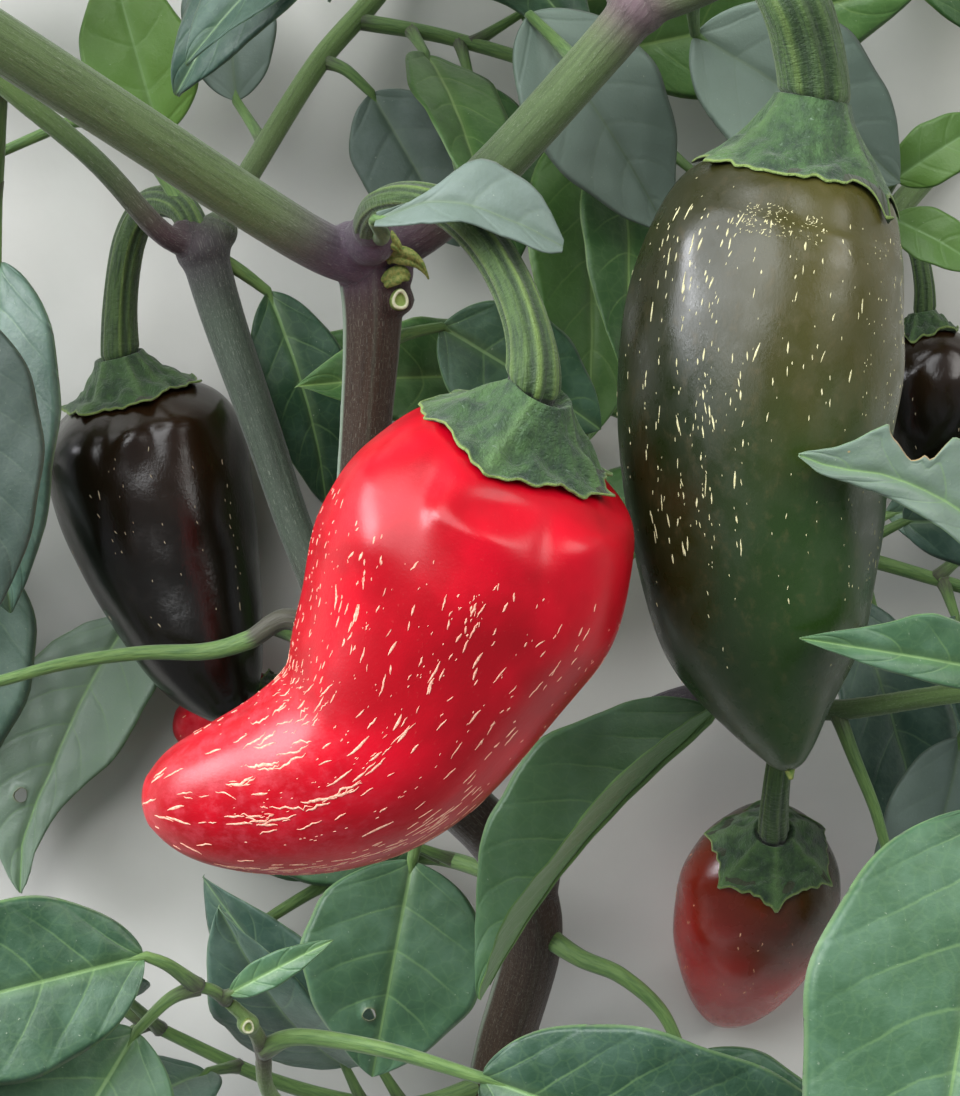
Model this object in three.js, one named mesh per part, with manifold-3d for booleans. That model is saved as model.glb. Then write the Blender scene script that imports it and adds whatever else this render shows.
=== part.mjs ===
import * as THREE from 'three';
import Module from 'manifold-3d';

// A branch of a chilli pepper plant with its fruit, cut off at the foot and laid down on its back.
// Millimetres. +X runs to the right, +Y from the cut foot to the leafy tips, +Z up off the ground.

const wasm = await Module();
wasm.setup();

// Driving dimensions

// Clearance between separate pieces
const GAP = 0.3;
// Where the middle of the whole branch lies in the plan that the places below are given in
const PLAN_MIDDLE = { x: -3.256, y: 13.681, z: 0 };
// Thickness of a leaf blade, as a share of its length and at least
const BLADE_SHARE = 0.012;
const BLADE_LEAST = 0.75;
// Thickness of a leaf stalk where it leaves the stem and where it meets the blade
const STALK_FOOT = 1.0;
const STALK_HEAD = 0.65;
// Sides of a limb and of a leafy stem, and rings for each span of a route of three places
const LIMB_SIDES = 8;
const STEM_SIDES = 5;
const FINE_STEPS = 2;
// Rows and sides of the swelling at a fork
const KNOB_ROWS = 6;
const KNOB_SIDES = 10;
// Leaves on a spray: the turn from one to the next, the least and the spread of their lean, and their sag
const LEAF_TURN = 2.4;
const LEAF_LEAN = [0.76, 0.38];
const LEAF_SAG = new THREE.Vector3(0, -0.3, -0.12);
// Draws that a spray may use up for each of its leaves
const TRIES = 12;
// Of a sprayed leaf, the least and the spread that is drawn on top: where it sits along the stem, its stalk
// and blade as shares of the spray's leaf length, its width as a share of the blade, its fold in degrees
const SPRAYED = {
  seat: [0.15, 0.85],
  stalk: [0.16, 0.1],
  blade: [0.75, 0.45],
  width: [0.42, 0.1],
  fold: [6, 10],
  leadLean: 0.2,
  arch: 0.07,
};
// Checks of clearance along a span of a limb and along a blade, and the room kept round a blade's skin
const SPAN_CHECKS = 6;
const BLADE_CHECKS = 14;
const BLADE_ROOM = 1.2;
// The space that the foliage keeps to, and the clearance that each leaf keeps to what is there already
const REACH = { left: -112, right: 106, foot: -100, head: 128, ground: 0.9, top: 112 };
const LEAF_CLEAR = 1.5;
// Multiplier and modulus of the draws
const DRAW_STEP = 16807;
const DRAW_RANGE = 2147483647;

// Looks of the pieces: colour, roughness
const looks = {
  greenBark: [0x6f8a55, 0.6],
  purpleBark: [0x4a3b3c, 0.6],
  brownBark: [0x33261f, 0.7],
  stalk: [0x5d8a3c, 0.55],
  redSkin: [0xd81226, 0.22],
  greenSkin: [0x3c4a20, 0.22],
  darkSkin: [0x17120d, 0.2],
  turningSkin: [0x8a2a1c, 0.25],
  leaf: [0x4f7f56, 0.6],
  paleLeaf: [0x8aa595, 0.6],
};

// Limbs: places along the middle line with the radius there [x, y, z, radius].
// A knob is the swelling at the fork in which a limb ends.
const limbs = {
  main_stem: {
    look: 'brownBark',
    knob: 4.7,
    route: [
      [0.5, -99, 4.3, 4.3],
      [0.9, -91, 4.3, 4.3],
      [3.6, -75, 8, 4.2],
      [7.8, -56, 18, 4.1],
      [3.6, -43.4, 25, 4.0],
      [-5.7, -32.8, 31, 3.9],
      [-17.8, -16.3, 37, 3.9],
    ],
  },
  fork_stem_right: {
    look: 'brownBark',
    knob: 4.9,
    clearOf: ['main_stem'],
    route: [
      [-17.8, -16.3, 37, 3.2],
      [-16.8, 1.1, 41, 3.2],
      [-15.5, 16, 45, 3.3],
      [-14.4, 30, 48.5, 3.7],
      [-14.7, 38.8, 50, 4.2],
    ],
  },
  fork_stem_left: {
    look: 'purpleBark',
    knob: 4.0,
    clearOf: ['main_stem', 'fork_stem_right'],
    route: [
      [-17.8, -16.3, 37, 2.5],
      [-25.4, 1.1, 32, 2.5],
      [-30.9, 16.7, 30, 2.7],
      [-36.5, 32.4, 28, 3.1],
      [-39.5, 42.5, 28, 3.4],
    ],
  },
  left_bough: {
    look: 'greenBark',
    clearOf: ['fork_stem_right'],
    route: [
      [-14.7, 38.3, 50, 3.6],
      [-20.4, 39.4, 55, 3.4],
      [-29.6, 44.2, 63, 3.4],
      [-44.2, 52.6, 78, 3.4],
      [-56.5, 59.5, 91, 3.4],
      [-63.2, 63.5, 97, 3.2],
    ],
  },
  right_bough: {
    look: 'greenBark',
    knob: 3.9,
    clearOf: ['fork_stem_right', 'left_bough'],
    route: [
      [-14.7, 38.8, 50, 3.6],
      [-6.6, 42.9, 53, 3.2],
      [2.2, 50.2, 56, 3.2],
      [15.6, 64.4, 60, 3.2],
      [20.5, 70, 62, 3.3],
    ],
  },
  bough_to_green_fruit: {
    look: 'greenBark',
    knob: 3.6,
    clearOf: ['right_bough'],
    route: [
      [20.5, 70, 62, 2.9],
      [27, 71.9, 64, 2.9],
      [33.4, 74.8, 66, 3.1],
    ],
  },
  bough_beyond_green_fruit: {
    look: 'greenBark',
    clearOf: ['bough_to_green_fruit'],
    route: [
      [33.4, 74.8, 66, 2.6],
      [44.5, 79.9, 67, 2.4],
      [55.6, 84.9, 65, 2.2],
    ],
  },
  bough_up: {
    look: 'greenBark',
    clearOf: ['right_bough', 'bough_to_green_fruit'],
    route: [
      [20.5, 70, 62, 2.6],
      [16.4, 75.5, 60, 2.5],
      [13.1, 83, 58, 2.3],
      [11.6, 91, 55, 2.1],
    ],
  },
  twig_left: {
    look: 'stalk',
    clearOf: ['fork_stem_left'],
    route: [
      [-39.5, 42.5, 28, 1.9],
      [-45, 44.6, 32, 1.7],
      [-53.5, 53.9, 37, 1.6],
      [-65.6, 63.9, 43, 1.6],
      [-74.1, 71.8, 48, 1.5],
    ],
  },
  twig_right: {
    look: 'stalk',
    clearOf: ['fork_stem_left', 'twig_left'],
    route: [
      [-39.5, 42.5, 28, 2.0],
      [-36.5, 47.7, 26, 1.8],
      [-31.9, 56.9, 22, 1.75],
      [-23.7, 72.2, 14, 1.7],
      [-15.2, 84, 7, 1.7],
      [-8.4, 97, 1.7, 1.7],
    ],
  },
  lower_bough: {
    look: 'purpleBark',
    knob: 3.3,
    clearOf: ['main_stem'],
    route: [
      [7.8, -54, 18.6, 2.9],
      [11.4, -37, 29, 2.7],
      [22.3, -24.6, 35.6, 2.6],
      [33.2, -20.6, 38.8, 2.6],
      [42, -20.9, 40, 2.7],
    ],
  },
  right_shoot: {
    look: 'stalk',
    clearOf: ['lower_bough'],
    route: [
      [42, -20.9, 40, 1.7],
      [48.6, -22, 45, 1.5],
      [63.7, -19.2, 53, 1.4],
      [73.2, -18.3, 58, 1.4],
    ],
  },
  back_bough: {
    look: 'purpleBark',
    clearOf: ['lower_bough', 'right_shoot'],
    route: [
      [42, -20.9, 40, 2.4],
      [42.1, -1.7, 24, 2.3],
      [47.8, 25.1, 11, 2.2],
      [62.2, 49.8, 4.5, 2.0],
      [77.2, 65.4, 1.8, 1.8],
    ],
  },
  low_shoot: {
    look: 'stalk',
    clearOf: ['main_stem'],
    route: [
      [1.2, -88, 5, 1.8],
      [-8, -91.5, 20, 1.6],
      [-20.4, -82, 43, 1.3],
      [-27.3, -71.6, 58, 1.1],
      [-27.9, -64.4, 64, 1.15],
      [-29.3, -60.1, 68, 0.95],
      [-31.6, -57.3, 70, 0.9],
    ],
  },
};

// Fruits: places down the axis with the radius there, then the height of the crown over the first ring,
// the lobes round the shoulders [count, depth, turn], and the stalk that it hangs from.
const fruits = {
  red_fruit: {
    look: 'redSkin',
    sides: 18,
    lobes: [3, 0.05, 0.4],
    axis: [
      [4.5, 12.9, 81.5, 8.5],
      [4.1, 12.1, 81.1, 12.8],
      [3.1, 10.2, 80.2, 15.9],
      [1.9, 6.9, 78.9, 18.1],
      [0, 1.5, 77.3, 19.4],
      [-2.7, -5.3, 76.2, 19.9],
      [-7.4, -14.8, 76, 17],
      [-13.5, -23.9, 76, 14.5],
      [-22.2, -28.5, 75.5, 12.2],
      [-31, -30.6, 75, 9.7],
      [-36.8, -31.1, 74.5, 7.2],
      [-39.8, -31.4, 74, 5.1],
      [-41.2, -31.5, 74, 3.2],
    ],
    tip: [-42, -31.5, 74],
    calyx: { rim: 11.8, collar: 4.2, height: 7, fall: 0.6, teeth: 6, turn: 0.3 },
    stalk: [
      [-14.6, 39.7, 52, 2.7],
      [-14.6, 44, 64, 2.6],
      [-12.1, 45.3, 72, 2.5],
      [-8.2, 45, 76, 2.4],
      [-3.7, 42.3, 77, 2.5],
      [0.6, 37.8, 78, 2.6],
      [3.9, 32, 80, 2.7],
      [5.9, 26, 82.6, 2.9],
      [6.4, 20.6, 84, 3.4],
      [5.5, 15.6, 82.7, 3.6],
    ],
    clearOf: ['fork_stem_right', 'left_bough', 'right_bough'],
  },
  green_fruit: {
    look: 'greenSkin',
    sides: 18,
    lobes: [4, 0.03, 0.2],
    axis: [
      [41, 49.2, 65.3, 8.5],
      [40.7, 47.5, 65, 12],
      [40, 44.4, 64.6, 14.3],
      [39, 40.9, 64, 15.8],
      [37.9, 35.9, 64, 17.1],
      [36.3, 27.3, 64, 18.2],
      [35.4, 16.8, 64, 17.9],
      [35.2, 6.2, 64, 16.7],
      [35.8, -3.5, 64, 15.2],
      [36.6, -11.7, 64, 13.2],
      [37.4, -17.1, 64, 10.2],
      [38.3, -21.6, 64, 6.9],
      [39.2, -25.5, 64, 4.2],
      [39.5, -27.5, 64, 2.4],
    ],
    tip: [39.7, -28.6, 64],
    calyx: { rim: 12.3, collar: 4.9, height: 8, fall: 2.2, teeth: 6, turn: 0 },
    stalk: [
      [33.4, 74.8, 66, 3.4],
      [36.2, 73.2, 70, 3.6],
      [39.2, 68.6, 72, 4.2],
      [41.1, 64, 70, 4.4],
      [42.3, 58.7, 68, 4.5],
      [42.4, 54.5, 66.8, 4.6],
      [41.7, 51, 65.6, 4.6],
    ],
    clearOf: ['bough_to_green_fruit', 'bough_beyond_green_fruit'],
  },
  dark_fruit: {
    look: 'darkSkin',
    sides: 16,
    lobes: [3, 0.05, 0.9],
    axis: [
      [-51.6, 22.8, 16.15, 7.7],
      [-51.2, 21.2, 15.75, 11.4],
      [-50.7, 19, 15.25, 13.5],
      [-49.8, 15.2, 14.95, 14.8],
      [-47.9, 7.1, 15.45, 14.6],
      [-44, -4.7, 17.9, 12.2],
      [-40.3, -14.1, 21.3, 9.4],
      [-37.3, -20, 24, 6.4],
      [-35.8, -23, 25.5, 3.7],
    ],
    tip: [-35.1, -24.6, 26.2],
    calyx: { rim: 9.8, collar: 3.8, height: 5.5, fall: 1.2, teeth: 6, turn: 0.2 },
    stalk: [
      [-39.5, 42.5, 28, 2.2],
      [-42.6, 48.6, 27.5, 2.2],
      [-47.6, 49.6, 23, 2.3],
      [-51.1, 45, 19.5, 2.4],
      [-52.7, 36.4, 17.8, 2.5],
      [-52.8, 28.4, 17, 2.9],
      [-51.9, 24.6, 16.3, 3.2],
    ],
    clearOf: ['fork_stem_left', 'twig_left', 'twig_right'],
  },
  turning_fruit: {
    look: 'turningSkin',
    sides: 14,
    lobes: [3, 0.05, 0.5],
    axis: [
      [41, -42, 32.8, 6.2],
      [41, -43.2, 31.4, 8.6],
      [40.9, -45, 29.2, 10.4],
      [40.5, -48.6, 24.6, 11.5],
      [39.5, -55.2, 17.6, 11.2],
      [38.5, -62.2, 10.8, 9],
      [37.5, -67.6, 5.4, 6],
      [36.9, -70.6, 2.3, 3.1],
    ],
    tip: [36.6, -72.2, 0],
    calyx: { rim: 8.2, collar: 3.0, height: 3.6, fall: 1.3, teeth: 6, turn: 0 },
    stalk: [
      [42, -20.9, 40, 1.8],
      [41.3, -26.2, 43.5, 1.7],
      [40.6, -31.2, 43.5, 1.8],
      [40.6, -36.4, 39.5, 2.0],
      [41, -40.6, 34.6, 2.3],
    ],
    clearOf: ['lower_bough', 'right_shoot', 'back_bough'],
  },
  small_red_fruit: {
    look: 'redSkin',
    sides: 10,
    lobes: [3, 0.04, 0],
    axis: [
      [-30.5, -23, 8.8, 3.4],
      [-31.6, -23.3, 8.4, 5],
      [-34.3, -24.2, 7.6, 6.2],
      [-37.8, -25.2, 7, 6.5],
      [-41.6, -26.4, 6.6, 5.6],
      [-44.8, -27.5, 6.2, 3.2],
    ],
    tip: [-46.2, -28.1, 6.1],
    calyx: { rim: 4.5, collar: 2.0, height: 2.8, fall: 0.6, teeth: 5, turn: 0 },
    stalk: [
      [-17.8, -16.3, 37, 1.5],
      [-20.5, -21, 24, 1.4],
      [-24.8, -21.8, 13, 1.5],
      [-29.2, -22.7, 9.4, 1.7],
    ],
    clearOf: ['main_stem', 'fork_stem_right', 'fork_stem_left'],
  },
  edge_fruit: {
    look: 'darkSkin',
    sides: 10,
    lobes: [3, 0.04, 0],
    axis: [
      [66.2, 32, 12.6, 3.8],
      [66.4, 30.9, 12.5, 6],
      [66.8, 28.4, 12.2, 7.6],
      [67.2, 23, 12, 8],
      [67.4, 16, 11.6, 6.6],
      [67.6, 11, 11.2, 4],
    ],
    tip: [67.7, 8.6, 11],
    calyx: { rim: 4.9, collar: 2.1, height: 2.8, fall: 0.6, teeth: 5, turn: 0 },
    stalk: [
      [62.2, 49.8, 4.5, 1.5],
      [65, 45.5, 10, 1.4],
      [66, 39.5, 12.6, 1.5],
      [66.1, 33.2, 12.8, 1.8],
    ],
    clearOf: ['back_bough'],
  },
};

// Foliage: the limbs that each mass keeps clear of, its stem if it has several leaves, and its leaves.
// A leaf has its stalk as a route, the tip of its blade, which starts where the stalk ends, its width,
// the way its upper face looks, the arch of its midrib, and the degrees by which its halves fold up.
const foliage = {
  fork_leaf: {
    look: 'paleLeaf',
    clearOf: ['fork_stem_right', 'left_bough', 'right_bough', 'red_fruit_stalk'],
    leaves: [{
      stalk: [
        [-16.2, 38.6, 53, 1.3], [-18.4, 42.4, 62, 1.1], [-18.4, 43.4, 72, 0.95], [-16.2, 42, 79, 0.8],
        [-12.8, 39.9, 81.4, 0.7],
      ],
      tip: [10.1, 36.7, 82], width: 11.5, face: [0, 0.45, 0.9], arch: 3, fold: 14,
    }],
  },
  leaf_under_dark_fruit: {
    look: 'leaf',
    clearOf: ['main_stem', 'fork_stem_left', 'small_red_fruit_stalk'],
    leaves: [{
      stalk: [
        [-19, -15.6, 34, 1.2], [-25.6, -13.2, 22, 1.1], [-32.5, -11.6, 10, 1.0],
        [-40.1, -10.4, 4.5, 0.9], [-47.1, -9.1, 3.2, 0.8], [-52.4, -9.4, 4, 0.7],
      ],
      tip: [-69.1, -51.9, 8], width: 25, face: [-0.45, 0, 1], arch: 4, fold: 6,
    }],
  },
  leaf_across_dark_fruit: {
    look: 'leaf',
    clearOf: [
      'main_stem', 'fork_stem_left', 'fork_stem_right', 'leaf_under_dark_fruit', 'small_red_fruit_stalk',
    ],
    leaves: [{
      stalk: [
        [-17.8, -16.3, 37, 1.6], [-26, -9.9, 38, 1.4], [-32.2, -12.8, 37, 1.3],
        [-38.2, -14.4, 36.5, 1.2], [-47.1, -14.6, 37, 1.0], [-57.4, -16, 39, 0.9],
        [-66, -18.3, 41, 0.8], [-73.4, -20, 43, 0.7],
      ],
      tip: [-101, -36, 44], width: 19, face: [0.1, 0, 1], arch: 3, fold: 10,
    }],
  },
  leaf_behind_stem: {
    look: 'leaf',
    clearOf: ['fork_stem_left', 'twig_right', 'twig_left'],
    leaves: [{
      stalk: [[-39.5, 42.5, 28, 1.1], [-34.8, 40, 25.6, 1.0], [-30.6, 37, 23.6, 0.75]],
      tip: [-22.8, 6.3, 15], width: 14, face: [0.3, 0.2, 0.9], arch: 4, fold: 10,
    }],
  },
  folded_leaf: {
    look: 'leaf',
    clearOf: ['lower_bough', 'right_shoot', 'back_bough', 'turning_fruit_stalk'],
    leaves: [{
      stalk: [[42, -20.9, 40, 1.2], [37.1, -18.6, 45, 1.0], [31.6, -21.8, 48, 0.8]],
      tip: [-0.7, -61.2, 44], width: 26, face: [-0.63, 0.52, 0.57], arch: 3, fold: 50,
    }],
  },
  leaf_low_right: {
    look: 'leaf',
    clearOf: ['main_stem', 'lower_bough'],
    leaves: [{
      stalk: [
        [7.8, -55.5, 18, 1.5], [14.3, -59.3, 22, 1.3], [20.2, -61.5, 24.5, 1.2], [26, -66.5, 25, 1.0],
        [29.4, -73.4, 25, 0.8],
      ],
      tip: [52, -96, 20], width: 19, face: [0.1, 0.1, 1], arch: 3, fold: 10,
    }],
  },
  leaf_below_red_fruit: {
    look: 'leaf',
    clearOf: ['main_stem'],
    leaves: [{
      stalk: [[-5.7, -32.8, 31, 1.4], [-8.2, -38, 36.5, 1.1], [-9.4, -43.4, 37.5, 0.8]],
      tip: [-15.1, -74, 35], width: 26, face: [0, 0, 1], arch: 2, fold: 6,
    }],
  },
  low_shoot_leaves: {
    look: 'leaf',
    clearOf: ['low_shoot'],
    stem: [[-31.85, -57, 70.3, 0.85], [-33.6, -55.3, 72.2, 0.8], [-35.4, -54.6, 74, 0.75]],
    leaves: [
      {
        stalk: [[-32.2, -56.6, 70.8], [-31.4, -55.8, 72]],
        tip: [-18.2, -48.6, 75], width: 4.2, face: [0, 0.2, 1], arch: 1, fold: 12,
      },
      {
        stalk: [[-35.2, -54.6, 74], [-38.2, -51.2, 78.6], [-40.9, -49.8, 80]],
        tip: [-83, -59.9, 84], width: 22, face: [0.05, 0.15, 1], arch: 3, fold: 8,
      },
      {
        stalk: [[-35.2, -54.6, 74], [-38.6, -56, 75.4], [-42.4, -59.7, 76]],
        tip: [-63.1, -93.6, 78], width: 26, face: [0, 0, 1], arch: 3, fold: 8,
      },
    ],
  },
  bottom_leaf: {
    look: 'leaf',
    clearOf: ['low_shoot'],
    leaves: [{
      stalk: [
        [-27.9, -64.4, 64, 1.2], [-22.8, -62, 68, 1.1], [-11.6, -62.9, 72, 1.0], [0, -65.9, 74, 0.8],
      ],
      tip: [54.9, -80, 79], width: 27, face: [0.05, -0.1, 1], arch: 4, fold: 10,
    }],
  },
  right_leaves: {
    look: 'leaf',
    clearOf: ['right_shoot'],
    stem: [[73.5, -18.27, 58.15, 1.3], [76, -18, 61, 1.2], [78, -17, 66, 1.1]],
    leaves: [
      {
        stalk: [[77, -17.4, 64], [76, -12.5, 70], [71, -7.4, 73]],
        tip: [38.6, 11.2, 84.5], width: 14.5, face: [0.1, 0.2, 1], arch: 1, fold: 8,
      },
      {
        stalk: [[76, -18, 61], [75, -18, 65], [70.6, -16.6, 68.3]],
        tip: [39.3, -11, 80], width: 11, face: [0.1, 0.1, 1], arch: 1.5, fold: 12,
      },
      {
        stalk: [[77.6, -17.2, 65.4], [76, -22, 78], [68, -27, 88], [60.6, -30.6, 91.4]],
        tip: [49, -91, 97], width: 37, face: [-0.12, 0, 1], arch: 5, fold: 8,
      },
      {
        stalk: [[77.8, -17.1, 65.8], [83, -14, 70], [86, -9, 72]],
        tip: [99, 24, 68], width: 17, face: [0.2, 0, 1], arch: 4, fold: 10,
      },
    ],
  },
  leaf_by_turning_fruit: {
    look: 'leaf',
    clearOf: ['right_shoot', 'lower_bough'],
    leaves: [{
      stalk: [
        [48.4, -22, 45, 1.0], [50.6, -28.3, 46.5, 0.9], [53.4, -35.1, 46, 0.8],
        [55.4, -41.4, 44.5, 0.7],
      ],
      tip: [53, -63, 36], width: 12, face: [0.2, 0, 1], arch: 2, fold: 10,
    }],
  },
  leaf_behind_red_stalk: {
    look: 'leaf',
    clearOf: ['fork_stem_right'],
    leaves: [{
      stalk: [[-15, 27, 47.6, 1.1], [-10, 29.5, 40, 0.9], [-5.4, 31, 34.6, 0.7]],
      tip: [17.1, 16.8, 29], width: 18, face: [0.1, 0.1, 1], arch: 2, fold: 8,
    }],
  },
  leaf_behind_right_bough: {
    look: 'paleLeaf',
    clearOf: ['right_bough', 'bough_up'],
    leaves: [{
      stalk: [[13.7, 62.3, 59, 1.1], [10.7, 67.4, 50, 0.9], [6.6, 72.4, 45.6, 0.7]],
      tip: [26.4, 43.9, 36], width: 20, face: [0.1, 0.2, 1], arch: 2, fold: 8,
    }],
  },
  leaf_behind_green_stalk: {
    look: 'paleLeaf',
    clearOf: ['bough_to_green_fruit', 'right_bough'],
    leaves: [{
      stalk: [[27.6, 72.2, 64, 1.1], [28.2, 71, 54, 0.9], [29, 69.4, 47.4, 0.7]],
      tip: [58.6, 50.7, 38], width: 23, face: [0.1, 0.1, 1], arch: 3, fold: 8,
    }],
  },
  leaves_at_right_edge: {
    look: 'leaf',
    clearOf: ['back_bough'],
    stem: [[59.6, 46, 5.4, 1.2], [57.6, 48.4, 16, 1.0], [57.4, 50, 27, 0.8]],
    leaves: [
      {
        stalk: [[57.4, 50, 26], [59, 52.4, 29]],
        tip: [73, 61, 32], width: 9, face: [0, 0.1, 1], arch: 2, fold: 10,
      },
      {
        stalk: [[57.5, 49.4, 23], [58.6, 47, 28]],
        tip: [72, 38.6, 31], width: 8, face: [0, 0.1, 1], arch: 2, fold: 10,
      },
    ],
  },
  bright_leaf_top_left: {
    look: 'leaf',
    clearOf: ['twig_right', 'fork_stem_left'],
    leaves: [{
      stalk: [[-35.6, 49.6, 25.2, 1.0], [-41.5, 54.6, 19, 0.9], [-47, 60.6, 16.4, 0.7]],
      tip: [-54, 86, 18], width: 17, face: [0, 0, 1], arch: 2, fold: 6,
    }],
  },
  dark_leaf_top_left: {
    look: 'paleLeaf',
    clearOf: ['twig_right'],
    leaves: [{
      stalk: [[-31.2, 58.4, 21.4, 1.0], [-33.6, 62.4, 16, 0.8], [-36.2, 66.4, 13, 0.7]],
      tip: [-38.6, 94, 9], width: 14, face: [0, 0, 1], arch: 2, fold: 6,
    }],
  },
  pale_leaf_top: {
    look: 'paleLeaf',
    clearOf: ['twig_right'],
    leaves: [{
      stalk: [[-23.7, 72.2, 14, 1.1], [-19.9, 70.6, 15.4, 0.9], [-16, 67, 16, 0.7]],
      tip: [-3, 44.6, 14], width: 16, face: [0, 0, 1], arch: 2, fold: 6,
    }],
  },
  arched_leaf_left: {
    look: 'leaf',
    clearOf: ['fork_stem_left', 'twig_left', 'dark_fruit_stalk', 'twig_right'],
    leaves: [{
      stalk: [
        [-39.5, 42.5, 28, 1.1], [-45.4, 53.4, 28, 0.95], [-51.6, 59.6, 28.4, 0.9],
        [-57.6, 60.6, 29, 0.85], [-62.4, 58.8, 29, 0.8], [-71.8, 54.6, 29, 0.7],
      ],
      tip: [-96, 36, 32], width: 18, face: [0, 0, 1], arch: 3, fold: 8,
    }],
  },
  leaf_at_left_edge: {
    look: 'paleLeaf',
    clearOf: ['twig_left'],
    leaves: [{
      stalk: [
        [-73.6, 71.2, 46.5, 1.1], [-78.5, 62, 46, 1.0], [-77, 48, 47, 0.85], [-72, 33, 46.6, 0.7],
      ],
      tip: [-66, -9, 45], width: 21, face: [0.1, 0, 1], arch: 3, fold: 8,
    }],
  },
  leaf_low_right_back: {
    look: 'paleLeaf',
    clearOf: ['right_shoot'],
    leaves: [{
      stalk: [[64.5, -19, 53.2, 1.0], [66.5, -22.6, 47, 0.9], [66, -26, 42, 0.7]],
      tip: [60, -56, 30], width: 18, face: [0.1, 0, 1], arch: 2, fold: 8,
    }],
  },
};

// Sprays grown by rule: the stem's route, the limbs that it keeps clear of, the seed of the draws,
// how many leaves it carries and how long they are.
const sprays = {
  spray_left_bough: {
    seed: 11, clearOf: ['left_bough'], leaves: 8, length: 38,
    stem: [[-63.5, 63.7, 97.3, 2.8], [-73, 71, 99, 2.0], [-84, 80, 98, 1.1]],
  },
  spray_twig_left: {
    seed: 5, clearOf: ['twig_left', 'leaf_at_left_edge'], leaves: 8, length: 38,
    stem: [[-74.3, 72, 48.1, 1.4], [-82, 80, 46, 1.2], [-86, 92, 40, 0.9]],
  },
  spray_left_side: {
    seed: 41, clearOf: ['twig_left', 'arched_leaf_left'], leaves: 8, length: 44,
    stem: [[-65.6, 63.9, 43, 1.2], [-70, 46, 26, 1.1], [-76, 26, 14, 1.0], [-80, 4, 10, 0.8]],
  },
  spray_twig_right: {
    seed: 7, clearOf: ['twig_right'], leaves: 8, length: 42,
    stem: [[-11.5, 91, 5.5, 1.4], [-6, 99, 16, 1.2], [-4, 108, 24, 0.9]],
  },
  spray_top_middle: {
    seed: 43, clearOf: ['twig_right'], leaves: 8, length: 42,
    stem: [[-19, 79, 9.8, 1.3], [-4, 76, 11, 1.1], [12, 70, 14, 1.0], [26, 60, 16, 0.8]],
  },
  spray_bough_up: {
    seed: 3, clearOf: ['bough_up'], leaves: 9, length: 40,
    stem: [[11.5, 91.3, 54.9, 2.0], [3, 98, 51, 1.5], [-10, 102, 47, 0.9]],
  },
  spray_beyond_green_fruit: {
    seed: 9, clearOf: ['bough_beyond_green_fruit'], leaves: 9, length: 40,
    stem: [[55.9, 85, 64.9, 2.1], [66, 91, 62, 1.6], [76, 96, 57, 0.9]],
  },
  spray_back_bough: {
    seed: 21, clearOf: ['back_bough'], leaves: 8, length: 42,
    stem: [[74, 62.6, 4.4, 1.5], [80, 74, 12, 1.3], [80, 88, 18, 0.9]],
  },
  spray_low_left: {
    seed: 13, clearOf: ['main_stem'], leaves: 7, length: 42,
    stem: [[2.6, -80, 8, 1.6], [-12, -84, 8, 1.3], [-30, -80, 10, 1.1], [-50, -70, 14, 0.9]],
  },
  spray_low_middle: {
    seed: 53, clearOf: ['main_stem'], leaves: 6, length: 32,
    stem: [[4.6, -48, 22, 1.3], [-8, -46, 12, 1.2], [-22, -50, 9, 1.0], [-36, -58, 12, 0.8]],
  },
  spray_back_middle: {
    seed: 29, clearOf: ['back_bough'], leaves: 6, length: 36,
    stem: [[44.5, 12, 16, 1.3], [32, 16, 11, 1.1], [16, 22, 10, 1.0], [2, 24, 10, 0.8]],
  },
  spray_right_side: {
    seed: 31, clearOf: ['back_bough'], leaves: 8, length: 42,
    stem: [[43, 2, 21, 1.3], [58, -2, 18, 1.1], [78, -8, 20, 0.9]],
  },
};

// Solid geometry

const vector = (place) => new THREE.Vector3(place[0], place[1], place[2]);

// A closed solid from its corners and triangles, turned so that its faces look out
function solidFrom(points, faces) {
  let volume = 0;
  for (const [a, b, c] of faces) {
    volume += points[a].dot(points[b].clone().cross(points[c]));
  }
  const order = volume < 0 ? [0, 2, 1] : [0, 1, 2];
  const mesh = new wasm.Mesh({
    numProp: 3,
    vertProperties: new Float32Array(points.flatMap((point) => point.toArray())),
    triVerts: new Uint32Array(faces.flatMap((face) => order.map((corner) => face[corner]))),
  });
  return new wasm.Manifold(mesh);
}

// A smooth route through places that also carry a radius
function routeOf(places) {
  const line = new THREE.CatmullRomCurve3(places.map(vector), false, 'catmullrom', 0.5);
  const girths = places.map((place) => new THREE.Vector3(place[3], 0, 0));
  const girth = new THREE.CatmullRomCurve3(girths, false, 'catmullrom', 0.5);
  return {
    spans: places.length - 1,
    point: (share) => line.getPoint(share),
    heading: (share) => line.getTangent(share),
    radius: (share) => girth.getPoint(share).x,
  };
}

// A direction square to a heading, as near to the given one as can be
function squareTo(heading, wish) {
  return wish.clone().addScaledVector(heading, -wish.dot(heading)).normalize();
}

// Faces of a stack of rings, closed by one corner at each end
function ringFaces(rings, sides) {
  const last = rings * sides + 1;
  const faces = [];
  for (let side = 0; side < sides; side++) {
    const next = (side + 1) % sides;
    faces.push([0, 1 + next, 1 + side]);
    for (let ring = 0; ring < rings - 1; ring++) {
      const here = 1 + ring * sides;
      const there = here + sides;
      faces.push([here + side, here + next, there + next]);
      faces.push([here + side, there + next, there + side]);
    }
    faces.push([last, last - sides + side, last - sides + next]);
  }
  return faces;
}

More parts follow.
